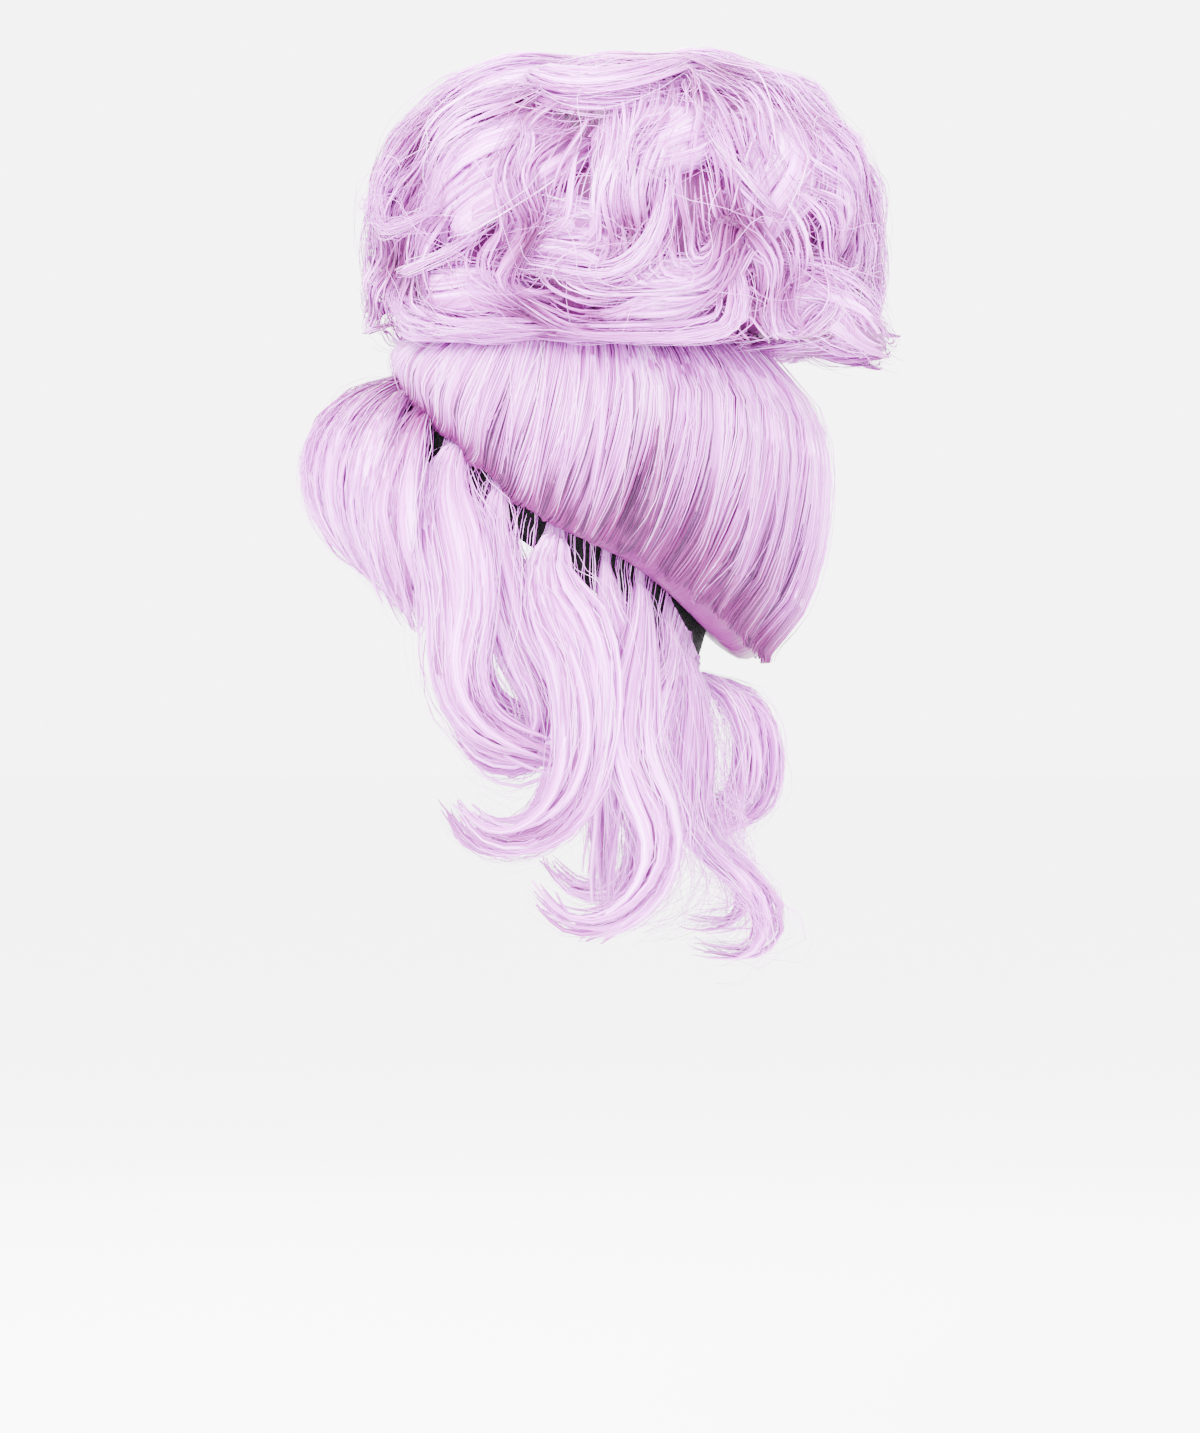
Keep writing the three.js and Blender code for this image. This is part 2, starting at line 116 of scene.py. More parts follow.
# %% [markdown]
# ## The hair's finish
# Wig fibre is smooth plastic thread. It shines in bands where a lock turns towards the light,
# and it looks violet in the gaps and at the roots, where light passes from strand to strand.
# Here both the highlights and this shade are painted into the hair's colour. The streaks follow
# the hair, so they read a UV map that runs along each bundle: a noise that is fine across the
# bundle and long along it gives both the colour streaks and the grooves, and where both noises
# are low it paints thin lines of shade. Two values kept on the mesh steer it: the first makes a
# hair paler, by random tone and by painted highlights up to near white, or paints a dark line of
# shade where it is negative, and the second paints the deep shade colour at roots, hollows and
# tips.

# %% Hair colours and the hair material
# A near-white colour painted as the hair's highlight, and a pale colour for both pale streaks and
# painted highlights.
PAINTED_HIGHLIGHT = (0.95, 0.55, 1.0, 1)
PALE_STREAK_AND_HIGHLIGHT = (0.76, 0.18, 0.84, 1)
LILAC = (0.37, 0.055, 0.38, 1)
# The deep colour, painted as shade at roots, hollows and tips.
ORCHID_SHADE = (0.14, 0.012, 0.115, 1)
# Near black, painted as the shade in gaps between strands.
SHADE = (0.028, 0.006, 0.030, 1)
# The teased hair's middle colour, darker than the lilac as painted shade.
TEASED_SHADE = (0.24, 0.03, 0.235, 1)
FINE_STREAKS = (900, 12)
BROAD_STREAKS = (260, 6)


def hair_material(name, pale_and_highlight, middle, shade_colour, groove):
    material, tree, shader = new_material(name)
    uv = add_node(tree, "ShaderNodeUVMap", {"uv_map": "along_hair"})
    tone = add_node(tree, "ShaderNodeAttribute", {"attribute_name": "tone"}, output=2)
    depth = add_node(tree, "ShaderNodeAttribute", {"attribute_name": "depth"}, output=2)

    def streaks(per_metre):
        stretched = add_node(tree, "ShaderNodeMapping", {}, {"Vector": uv, "Scale": (*per_metre, 1)})
        return add_node(tree, "ShaderNodeTexNoise", {"noise_dimensions": "2D"},
                        {"Vector": stretched, "Scale": 1.0, "Detail": 2.0, "Roughness": 0.6})

    fine = streaks(FINE_STREAKS)
    broad = streaks(BROAD_STREAKS)
    # Either noise is about 0.5 on average, so without a tone the paleness is a little above 0.
    # Random streaks and painted highlights make a hair paler; the palest parts are painted near
    # white as highlights.
    streaks_and_highlight = fine * 3.4 + broad * 3.0 + tone - 3.15
    # Where both noises are low, thin lines of shade between strands are painted.
    painted_gap_shade = ((0.42 - fine) * 8.0).clamped() * ((0.52 - broad) * 7.0).clamped() * 0.6
    colour = blend_colours(tree, streaks_and_highlight.clamped(), middle, pale_and_highlight)
    colour = blend_colours(tree, (streaks_and_highlight * 0.8 - 0.7).clamped(), colour, PAINTED_HIGHLIGHT)
    # Painted shade at roots, hollows and tips.
    colour = blend_colours(tree, (depth * (1.6 - streaks_and_highlight * 0.7)).clamped(), colour, shade_colour)
    # Painted dark lines of shade, in those gaps and on hairs of negative tone.
    colour = blend_colours(tree, (painted_gap_shade - tone * 2.0).clamped(), colour, SHADE)
    plug(tree, colour, shader.inputs["Base Color"])
    plug(tree, 0.28 + fine * 0.25, shader.inputs["Roughness"])
    bump = add_node(tree, "ShaderNodeBump", {},
                    {"Height": fine * 0.6 + broad, "Strength": groove, "Distance": 0.0008})
    plug(tree, bump, shader.inputs["Normal"])
    shader.inputs["Specular Tint"].default_value = (1.0, 0.55, 1.0, 1)
    return material


lilac_finish = hair_material("lilac_hair", PALE_STREAK_AND_HIGHLIGHT, LILAC, ORCHID_SHADE, 0.6)
# The teased finish is a darker copy of the hair finish, painted as shade on the bun's core, the
# frizz and the crown's under layer.
shaded_teased_finish = hair_material("teased_hair", LILAC, TEASED_SHADE, ORCHID_SHADE, 0.9)
print("hair finishes:", lilac_finish.name, shaded_teased_finish.name)

# %% [markdown]
# ## Tubes of hair
# Real hair is thousands of strands. Each strand here is a thin closed tube with three sides,
# and each bundle is a wider flattened tube with four, six or eight. They are far too many to
# model one by one, so their corners are worked out in arrays and joined into one mesh for each
# piece.

# %% Collect tubes and make them a mesh
def unit(vectors):
    return vectors / np.maximum(np.linalg.norm(vectors, axis=-1, keepdims=True), 1e-9)


class HairMesh:
    """Gathers closed tubes and turns them into one object."""

    def __init__(self):
        self.parts = []
        self.corner_count = 0

    def add(self, middles, outward, half_width, half_thickness, sides, tone, depth):
        """Tubes through middles (tubes, steps, 3), flattened across the outward direction."""
        count, steps = middles.shape[:2]
        along = unit(np.gradient(middles, axis=1))
        outward = unit(outward - along * (outward * along).sum(-1, keepdims=True))
        across = np.cross(outward, along)
        angle = (np.arange(sides) + 0.5) / sides * 2 * np.pi
        sizes = [np.broadcast_to(size, (count, steps))[:, :, None, None]
                 for size in (half_width, half_thickness)]
        corners = (middles[:, :, None] + across[:, :, None] * sizes[0] * np.cos(angle)[:, None]
                   + outward[:, :, None] * sizes[1] * np.sin(angle)[:, None])
        index = self.corner_count + np.arange(count * steps * sides).reshape(count, steps, sides)
        here, there = index[:, :-1], index[:, 1:]
        walls = np.stack([here, np.roll(here, -1, 2), np.roll(there, -1, 2), there], -1)
        ends = np.concatenate([index[:, 0, ::-1], index[:, -1]])
        run = np.linalg.norm(np.diff(middles, axis=1), axis=-1)
        run = np.concatenate([np.zeros((count, 1)), np.cumsum(run, 1)], 1)
        # Each tube starts at a place of its own in the streaks.
        run += np.random.default_rng(count + steps).uniform(0, 9, (count, 1))
        girth = 4 * np.max(sizes[0], axis=1).reshape(count, 1, 1)
        side = np.arange(sides) / sides * girth + run[:, :1, None] * 0.7
        step = girth / sides
        low, high = run[:, :-1, None] + 0 * side, run[:, 1:, None] + 0 * side
        flat = side + 0 * low
        wall_uv = np.stack([np.stack([flat, low], -1), np.stack([flat + step, low], -1),
                            np.stack([flat + step, high], -1), np.stack([flat, high], -1)], -2)
        end_uv = np.zeros((len(ends), sides, 2)) + 0.5
        spread = (count, steps, sides)
        self.parts.append((
            corners.reshape(-1, 3), walls.reshape(-1, 4), ends, wall_uv.reshape(-1, 2),
            end_uv.reshape(-1, 2), np.broadcast_to(tone[..., None], spread).reshape(-1),
            np.broadcast_to(depth[..., None], spread).reshape(-1)))
        self.corner_count += count * steps * sides

    def finish(self, name, material, slot, replaces=()):
        """One object from all the tubes, riding on the wig, in place of the solids it dresses."""
        corners = np.concatenate([part[0] for part in self.parts])
        loops, starts, uvs, start = [], [], [], 0
        for part in self.parts:
            for faces, uv in ((part[1], part[3]), (part[2], part[4])):
                loops.append(faces.reshape(-1))
                starts.append(start + np.arange(len(faces)) * faces.shape[1])
                uvs.append(uv)
                start += faces.size
        mesh = bpy.data.meshes.new(name)
        mesh.vertices.add(len(corners))
        mesh.vertices.foreach_set("co", corners.astype(np.float32).reshape(-1))
        mesh.loops.add(start)
        mesh.loops.foreach_set("vertex_index", np.concatenate(loops).astype(np.int32))
        mesh.polygons.add(sum(len(part) for part in starts))
        mesh.polygons.foreach_set("loop_start", np.concatenate(starts).astype(np.int32))
        mesh.uv_layers.new(name="along_hair")
        mesh.uv_layers["along_hair"].uv.foreach_set(
            "vector", np.concatenate(uvs).astype(np.float32).reshape(-1))
        for label, place in (("tone", 5), ("depth", 6)):
            values = np.concatenate([part[place] for part in self.parts]).astype(np.float32)
            mesh.attributes.new(label, "FLOAT", "POINT").data.foreach_set("value", values)
        mesh.update(calc_edges=True)
        mesh.polygons.foreach_set("use_smooth", np.ones(len(mesh.polygons), bool))
        mesh.materials.append(material)
        piece = bpy.data.objects.new(name, mesh)
        bpy.context.scene.collection.objects.link(piece)
        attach(piece, "root")
        if replaces:
            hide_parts(*replaces)
        totals["triangles"] += sum(2 * len(walls) + len(ends) * (ends.shape[1] - 2)
                                   for _, walls, ends, *_ in self.parts)


totals = {"triangles": 0}

# %% [markdown]
# ## The line that each lock follows
# Every curl and lock is already a solid with six corners to a ring. Walking outwards from one
# of its end points, ring by ring, gives the lock's middle line, its width and its thickness,
# so that the hair follows the solid and nothing has to be typed twice. A hanging or fringe lock
# gets one more point in front of these, on the outside of the cap, where its hair is tied on.

# %% Read the middle line of a lock from its solid
def merged(node):
    """A bmesh of a solid with its loose triangles joined."""
    mesh = bmesh.new()
    mesh.from_mesh(nodes[node].data)
    bmesh.ops.remove_doubles(mesh, verts=mesh.verts, dist=1e-6)
    return mesh


def tree_of(node):
    mesh = merged(node)
    tree = BVHTree.FromBMesh(mesh)
    mesh.free()
    return tree


def layers_from(start):
    """The corners of a mesh in layers, by how many edges lead to them from one corner."""
    layers, seen = [[start]], {start}
    while True:
        layer = {edge.other_vert(vert) for vert in layers[-1] for edge in vert.link_edges} - seen
        if not layer:
            return layers
        seen |= layer
        layers.append(sorted(layer, key=lambda vert: vert.index))


def smooth_path(points, count):
    """A smooth curve through points, at count even steps."""
    place = np.linspace(0, len(points) - 1, count)
    start = np.minimum(place.astype(int), len(points) - 2)
    t = (place - start)[:, None]
    wider = np.vstack([2 * points[0] - points[1], points, 2 * points[-1] - points[-2]])
    a, b, c, d = (wider[start + offset] for offset in range(4))
    return b + t / 2 * (c - a + t * (2 * a - 5 * b + 4 * c - d + t * (3 * (b - c) + d - a)))


SAMPLES = 121
HEAD_MIDDLE = Vector((0, 0.005, -0.09))
ABOVE_ROOT = Vector((0, 0, 0.013))
CAP_WALL = 0.003


class LockPath:
    """A lock's middle line, with its half width and half thickness as directions."""

    def __init__(self, middle, across, through):
        self.middle, self.across, self.through = (
            smooth_path(np.asarray(values), SAMPLES) for values in (middle, across, through))

    def at(self, values, places):
        """One of the three, at places from 0 to 1 along the lock."""
        scaled = np.clip(places, 0, 1) * (SAMPLES - 1)
        start = np.minimum(scaled.astype(int), SAMPLES - 2)
        t = (scaled - start)[..., None]
        return values[start] * (1 - t) + values[start + 1] * t


def path_of(node):
    mesh = merged(node)
    mesh.verts.ensure_lookup_table()
    chains = (layers_from(vert) for vert in mesh.verts)
    ends = [chain for chain in chains
            if len(chain[-1]) == 1 and all(len(layer) == 6 for layer in chain[1:-1])]
    chain = max(ends, key=lambda layers: layers[0][0].co.z)
    middle, across, through = [], [], []
    for layer in chain:
        corners = np.array([vert.co for vert in layer])
        centre = corners.mean(0)
        middle.append(centre)
        if len(layer) == 1:
            continue
        reach = corners - centre
        first = reach[np.argmax(np.linalg.norm(reach, axis=1))]
        first = first if not across or first @ across[-1] > 0 else -first
        flat = reach - np.outer(reach @ first / (first @ first), first)
        second = flat[np.argmax(np.linalg.norm(flat, axis=1))]
        second = second if not through or second @ through[-1] > 0 else -second
        across.append(first)
        through.append(second)
    mesh.free()
    for sizes in (across, through):
        sizes.insert(0, sizes[0] * 0.6)
        sizes.append(sizes[-1] * 0.3)
    if "_lock_" in node:
        seam = cap_tree.find_nearest(Vector(middle[0]) + ABOVE_ROOT)[0]
        middle.insert(0, np.array(seam + (seam - HEAD_MIDDLE).normalized() * CAP_WALL))
        across.insert(0, across[0] * 0.8)
        through.insert(0, through[0] * 0.4)
    return LockPath(middle, across, through)


cap_tree = tree_of("wig_cap")
lock_paths = {name: path_of(name) for name in nodes
              if name not in ("wig_cap", "crown_sweep", "bun_pad")}
print("middle lines read:", len(lock_paths))

# %% [markdown]
# ## Filling a lock with hair
# A lock keeps the solid's flattened round section. A plain core fills it, shallow ridges of hair
# lie side by side over the core, and fine strands run over the ridges. The strands end at
# different lengths and drift apart towards the tip, so that no edge looks cut. A paler colour is
# painted as a highlight where a lock bows out to the light, and a deeper colour is painted as
# shade at its root and its tip.

# %% Values that change along a hair
def ramp(values, start, end):
    """0 at the start value, 1 at the end value, and even between them."""
    return np.clip((values - start) / (end - start), 0, 1)


def hump(values, middle, width):
    """A soft hump of height 1."""
    return np.exp(-((values - middle) / width) ** 2)


def tapered(share, root, growth):
    """The width of a hair along its length: narrow at its root and pointed at its end."""
    return np.minimum(1, root + share * growth) * (1 - 0.85 * share ** 3)


def own_wave(rng, share, turns, count):
    """A wave along each hair, with its own number of turns and its own start."""
    turns = rng.uniform(*turns, (count, 1))
    return np.sin(2 * np.pi * (share * turns + rng.uniform(0, 1, (count, 1))))

# %% Spread hair along a lock
def round_the_rim(shares, half_width, half_thickness):
    """Angles round an ellipse, at shares of the way along its rim."""
    turn = np.linspace(0, 2 * np.pi, 181)
    steps = np.hypot(half_width * np.sin(turn[1:]), half_thickness * np.cos(turn[1:]))
    rim = np.concatenate([[0], np.cumsum(steps)]) * turn[1]
    return np.interp(shares % 1 * rim[-1], rim, turn), rim[-1]


def spread_in_lock(path, angle, radius, rng, steps, ends, winding, sway, stray):
    """Middles, outward directions and places of strands that leave at these angles in a lock."""
    count = len(angle)
    # The steps are closer together towards the tip, where the lock curls.
    share = 1 - (1 - np.linspace(0, 1, steps)) ** 1.35
    places = rng.uniform(*ends, (count, 1)) * share
    angle = (angle + rng.normal(0, winding, (count, 1)) * share
             + sway * own_wave(rng, share, (0.6, 1.8), count))
    across, through = path.at(path.across, places), path.at(path.through, places)
    cosine, sine = (radius * np.cos(angle))[..., None], (radius * np.sin(angle))[..., None]
    middles = path.at(path.middle, places) + across * cosine + through * sine
    loose = rng.normal(0, 1, (count, 1, 3)) * (share ** 2)[None, :, None]
    curl = rng.normal(0, 1, (count, 2, 3))
    phase = 2 * np.pi * share * rng.uniform(0.8, 2.2, (count, 1))
    waves = (np.sin(phase)[..., None] * curl[:, :1]
             + (1 - np.cos(phase))[..., None] * curl[:, 1:] * 0.5)
    middles = middles + stray * (loose + waves * share[None, :, None])
    width2 = (across ** 2).sum(-1, keepdims=True)
    thick2 = (through ** 2).sum(-1, keepdims=True)
    outward = unit(across * cosine / width2 + through * sine / thick2)
    return middles, outward, share, places


PLAIN_CORE_END = 0.88


def fill_lock(hair, path, rng, ridges, strands, loose, shade_at, highlight_at, tip=(0.88, 1.0),
              stray=0.0015, steps=16, strand_steps=10):
    """A core, ridges, strands and a few loose hairs in one lock."""
    half_width = np.linalg.norm(path.across, axis=1).max()
    half_thick = np.linalg.norm(path.through, axis=1).max()

    def lay(shares, radius, steps, ends, sides, width, thickness, tones, **drift):
        angle, _ = round_the_rim(shares, half_width, half_thick)
        middles, outward, share, places = spread_in_lock(
            path, angle, radius, rng, steps, ends, **drift)
        size = np.linalg.norm(path.at(path.across, places), axis=-1) / half_width
        taper = np.minimum(size, tapered(share, 0.3, 5))
        tone = rng.uniform(*tones, (len(shares), 1)) + highlight_at(places)
        hair.add(middles, outward, width * taper, thickness * taper, sides, tone, shade_at(places))

    # The core, inside the lock, is painted in more shade than the hair over it.
    places = np.linspace(0, PLAIN_CORE_END, 18)[None]
    narrowing = 1 - 0.7 * (places / PLAIN_CORE_END) ** 6
    hair.add(path.at(path.middle, places), path.at(path.through, places),
             np.linalg.norm(path.at(path.across, places), axis=-1) * 0.8 * narrowing,
             np.linalg.norm(path.at(path.through, places), axis=-1) * 0.7 * narrowing, 8,
             highlight_at(places) - 0.1, np.clip(shade_at(places) + 0.3, 0, 1))
    even = (np.arange(ridges)[:, None] + rng.uniform(-0.35, 0.35, (ridges, 1))) / ridges
    _, rim = round_the_rim(even, half_width, half_thick)
    lay(even, rng.uniform(0.76, 0.9, (ridges, 1)), steps, ends=tip, sides=6,
        width=rim / ridges * rng.uniform(0.5, 0.95, (ridges, 1)),
        thickness=rng.uniform(0.0007, 0.0014, (ridges, 1)), tones=(-0.1, 0.7),
        winding=0.15, sway=0.1, stray=stray)
    lay(rng.uniform(0, 1, (strands, 1)), rng.uniform(0.92, 1.2, (strands, 1)), strand_steps,
        ends=(tip[0] - 0.12, tip[1]), sides=3, width=rng.uniform(0.0003, 0.0006, (strands, 1)),
        thickness=0.00024, tones=(-0.15, 1.0), winding=0.3, sway=0.15, stray=stray * 0.9)
    lay(rng.uniform(0, 1, (loose, 1)), rng.uniform(1.0, 1.7, (loose, 1)), 13,
        ends=(0.6, 1.0), sides=3, width=rng.uniform(0.00015, 0.0002, (loose, 1)),
        thickness=0.00015, tones=(0.3, 1.3), winding=0.5, sway=0.4, stray=0.0035)

# %% [markdown]
# ## The hanging waves
# The waves hang from knots on the cap behind the temples, ears and nape, and end in loose
# curls. Each is gathered at its knot and opens out below it. Their colour is painted paler where
# they leave the cap, with bands of painted highlight along them, and painted in deeper shade at
# their curled tips.

# %% Dress the hanging locks
# Painted shade at the curled tips.
def hanging_tip_shade(places):
    return 0.55 * ramp(places, 0.72, 1) ** 1.5


# Painted highlight: paler near the cap, and in bands along the wave.
def hanging_highlights(places):
    return 0.35 - 0.25 * places + 0.2 * np.cos(places * 13)


hanging = [name for name in lock_paths if "_lock_" in name and not name.startswith("fringe")]
GATHERED = ("neck", "shoulder", "collar")
FULL_WIDTH = 1.18
for order, name in enumerate(sorted(hanging)):
    hair = HairMesh()
    share = np.linspace(0, 1, SAMPLES)[:, None]
    root, spread = (0.35, 0.36) if name.startswith(GATHERED) else (0.75, 0.3)
    lock_paths[name].across *= root + (FULL_WIDTH - root) * ramp(share, 0, spread) ** 1.4
    fill_lock(hair, lock_paths[name], np.random.default_rng(100 + order), 14, 70, 26,
              hanging_tip_shade, hanging_highlights, stray=0.0025, steps=22, strand_steps=15)
    hair.finish(name + "_hair", lilac_finish, "lilac_hair", [name])
print("hanging locks:", len(hanging), "triangles so far:", totals["triangles"])

# %% [markdown]
# Single hairs also hang between the locks and tie them into one soft veil. Each takes a course
# between two neighbouring locks, with waves of its own.

# %% Lay the veil between the locks
def veil_between(first, second, count, rng, steps=15):
    share = np.linspace(0, 1, steps)
    places = rng.uniform(0.55, 0.96, (count, 1)) * share
    mix = (rng.uniform(-0.15, 1.15, (count, 1))
           + 0.25 * own_wave(rng, share, (0.5, 1.6), count) * share)
    middles = (first.at(first.middle, places) * (1 - mix[..., None])
               + second.at(second.middle, places) * mix[..., None])
    curl = rng.normal(0, 0.003, (count, 2, 3))
    phase = 2 * np.pi * share * rng.uniform(1.0, 3.0, (count, 1))
    middles = middles + (np.sin(phase)[..., None] * curl[:, :1]
                         + np.cos(phase)[..., None] * curl[:, 1:]) * share[:, None]
    half_width = rng.uniform(0.00016, 0.0003, (count, 1)) * (1 - 0.6 * share)
    hair.add(middles, first.at(first.through, places), half_width, 0.00015, 3,
             rng.uniform(0.3, 1.4, (count, 1)), hanging_tip_shade(places))


def round_the_head(name):
    """The angle at which a lock leaves the cap, from the front round by the wearer's left."""
    root = lock_paths[name].middle[0]
    return np.arctan2(root[0], -root[1]) % (2 * np.pi)


ring = sorted(hanging, key=round_the_head)
hair = HairMesh()
NAPE = ("collar", "corner", "nape")
for order, (name, neighbour) in enumerate(zip(ring, ring[1:])):
    count = 100 if name.startswith(NAPE) and neighbour.startswith(NAPE) else 20
    veil_between(lock_paths[name], lock_paths[neighbour], count, np.random.default_rng(160 + order))
hair.finish("hanging_veil", lilac_finish, "lilac_hair")
print("veil laid, triangles so far:", totals["triangles"])

# %% [markdown]
# ## The fringe
# Seven locks sweep forward over the brow. They are the other way round from the waves, painted in
# deep shade at their roots and painted pale as a highlight where they arch, and each widens so
# that they close up in front.

# %% Dress the fringe
# Painted shade at the roots.
def fringe_root_shade(places):
    return 1.1 * ramp(places, 0.42, 0)


# Painted highlight where the lock arches.
def fringe_highlight(places):
    return 0.5 * hump(places, 0.62, 0.2)


fringe = sorted(name for name in lock_paths if name.startswith("fringe"))
for order, name in enumerate(fringe):
    hair = HairMesh()
    path = lock_paths[name]
    path.across *= np.linspace(1.0, 1.9, SAMPLES)[:, None]
    fill_lock(hair, path, np.random.default_rng(200 + order), 16, 100, 12,
              fringe_root_shade, fringe_highlight, tip=(0.8, 1.0))
    hair.finish(name + "_hair", lilac_finish, "lilac_hair", [name])
print("fringe locks:", len(fringe), "triangles so far:", totals["triangles"])

# %% [markdown]
# ## The swept-up crown
# The crown is one smooth layer of long hair. It is sewn on along a line above the ears and
# drawn up under the bun. Rays sent in towards the head find how far the solid stands out at
# each height and angle, and the hair is laid over that surface.

# %% Measure the crown's surface
OUTSIDE = 0.3
AXIS_Y = 0.005
ANGLES = np.linspace(0, 2 * np.pi, 145)
HEIGHTS = np.linspace(-0.172, 0.0012, 70)
SMOOTHING = np.array((1, 2, 3, 2, 1)) / 9


def level_direction(angle):
    return np.stack([np.sin(angle), -np.cos(angle), 0 * angle], -1)


crown_tree = tree_of("crown_sweep")
reach = np.full((len(ANGLES), len(HEIGHTS)), np.nan)
for row, angle in enumerate(ANGLES):
    direction = Vector(level_direction(angle))
    for column, height in enumerate(HEIGHTS):
        origin = Vector((0, AXIS_Y, height)) + direction * OUTSIDE
        hit = crown_tree.ray_cast(origin, -direction, OUTSIDE - 0.03)
        if hit[0]:
            reach[row, column] = OUTSIDE - hit[3]
lowest = np.array([HEIGHTS[np.argmax(~np.isnan(line))] for line in reach])
for line in reach:
    known = ~np.isnan(line)
    known[:np.argmax(known) + 2] = False
    line[:] = np.interp(HEIGHTS, HEIGHTS[known], line[known])
    line[2:-2] = np.convolve(line, SMOOTHING, "valid")
reach[:-1] = sum(weight * np.roll(reach[:-1], shift, 0)
                 for shift, weight in zip(range(-2, 3), SMOOTHING))
reach[-1] = reach[0]
print("crown reaches from", round(reach.min(), 3), "to", round(reach.max(), 3))


def read_grid(grid, angle, level, levels):
    """A grid's value between its rows, which go once round, and its columns, one for each level."""
    row = (angle % (2 * np.pi)) / (2 * np.pi) * (len(grid) - 1)
    column = ramp(level, levels[0], levels[-1]) * (len(levels) - 1)
    i, j = (np.minimum(place.astype(int), size - 2)
            for place, size in zip((row, column), grid.shape))
    s, t = row - i, column - j
    return ((1 - s) * (1 - t) * grid[i, j] + s * (1 - t) * grid[i + 1, j]
            + (1 - s) * t * grid[i, j + 1] + s * t * grid[i + 1, j + 1])


def crown_point(angle, height, lift):
    """A point over the crown, lift above its surface."""
    out = read_grid(reach, angle, height, HEIGHTS)
    point = level_direction(angle) * (out + lift)[..., None]
    point[..., 1] += AXIS_Y
    point[..., 2] = height
    return point

# %% [markdown]
# The combed hair lies in soft folds and leans back on its way up to the bun. Behind either ear
# it leaves the seam in small tufts. Its roots are painted in deep shade, most of all above the
# ear, and bands of highlight are painted across it.

# %% Lay the crown's hair
TUFTS = 46
TUFT_HEIGHT = 0.0015
FOLDS = 26
FOLD_HEIGHT = 0.0018
BACKWARD_LEAN = np.radians(14)
# Angles round the head, in radians from straight ahead.
SHADED_SECTION = np.radians(112)
BEHIND_EAR = 2.2
TUFT_SPAN = np.radians((108, 152))
TUFT_EDGE = 0.07


def from_front(angle):
    """The angle from straight ahead, the same on either side."""
    return np.abs((angle + np.pi) % (2 * np.pi) - np.pi)


def behind_the_ear(angle):
    """1 where the hair leaves the seam in tufts, behind either ear, and 0 elsewhere."""
    turned = from_front(angle)
    inside = np.minimum(turned - TUFT_SPAN[0], TUFT_SPAN[1] - turned)
    return ramp(inside, 0, TUFT_EDGE)


def root_shade_reach(angle):
    """How far up the crown the painted shade of the roots goes, furthest behind the ears."""
    turned = from_front(angle)
    return (0.36 + 0.2 * hump(turned, BEHIND_EAR, 0.35) + 0.06 * np.sin(angle * 17)
            + 0.34 * hump(turned, SHADED_SECTION, 0.09))


def crown_hair(hair, angle, rng, steps, lift, half_width, half_thickness, sides, tone, stray,
               ends=1.0):
    share = np.linspace(0, 1, steps) * ends
    bottom = np.interp(angle % (2 * np.pi), ANGLES, lowest)
    tuft = behind_the_ear(angle)
    bottom = bottom + tuft * TUFT_HEIGHT * (0.5 + 0.5 * np.cos(TUFTS * angle)) ** 2
    gathered = 0.03 * np.sin(angle * FOLDS) * (1 - tuft) + 0.012 * np.sin(TUFTS * angle) * tuft
    turned = (angle + gathered * (1 - share) ** 3 + BACKWARD_LEAN * np.sin(angle) * share
              + stray * np.sin(2 * np.pi * (share + angle * 7)) * share)
    height = bottom - 0.001 + (HEIGHTS[-1] + 0.005 - bottom) * share ** 1.6
    fold = FOLD_HEIGHT * np.sin(turned * FOLDS + 2 * np.sin(turned * 5)) * np.sin(np.pi * share)
    middles = crown_point(turned, height, lift + fold)
    ahead = crown_point(turned, height + 0.001, lift + fold) - middles
    sideways = crown_point(turned + 0.01, height, lift + fold) - middles
    outward = np.cross(sideways, ahead)
    # Painted shade at the roots, and a little just under the bun.
    shade_to = root_shade_reach(angle) * rng.uniform(0.7, 1.3, angle.shape)
    depth = 1.7 * ramp(share, shade_to, 0) + 0.15 * ramp(share, 0.9, 1)
    taper = np.minimum(1, 0.5 + share * 3)
    # Painted highlight: a pale band high on the crown, and stripes across it.
    shine = 0.6 * hump(share, 0.74 - 0.06 * np.sin(angle * 9), 0.2) - 0.12
    shine = shine + 0.3 * np.sin(turned * 41 + 4 * np.sin(turned * 7))
    hair.add(middles, outward, half_width * taper, half_thickness * taper, sides, tone + shine,
             np.broadcast_to(depth, turned.shape))


def all_round(count, rng):
    return ((np.arange(count) + rng.uniform(-0.4, 0.4, count)) / count * 2 * np.pi)[:, None]


CROWN_RIDGES, CROWN_STRANDS, CROWN_LOOSE = 420, 1150, 110
rng = np.random.default_rng(300)
hair = HairMesh()
each = (CROWN_RIDGES, 1)
crown_hair(hair, all_round(CROWN_RIDGES, rng), rng, 16, lift=rng.uniform(0.0003, 0.0012, each),
           half_width=rng.uniform(0.0009, 0.002, each), half_thickness=0.0008, sides=4,
           tone=rng.uniform(-0.25, 0.8, each), stray=0.012)
# Strands with a negative tone are painted as dark lines of shade.
each = (CROWN_STRANDS, 1)
crown_hair(hair, all_round(CROWN_STRANDS, rng), rng, 11, lift=0.0021,
           half_width=rng.uniform(0.00028, 0.00048, each), half_thickness=0.00028, sides=3,
           tone=1.9 * rng.uniform(0, 1, each) ** 0.55 - 0.95, stray=0.02)
each = (CROWN_LOOSE, 1)
crown_hair(hair, all_round(CROWN_LOOSE, rng), rng, 14, lift=0.0045, half_width=0.0002,
           half_thickness=0.00018, sides=3, tone=rng.uniform(0.5, 1.2, each), stray=0.09)

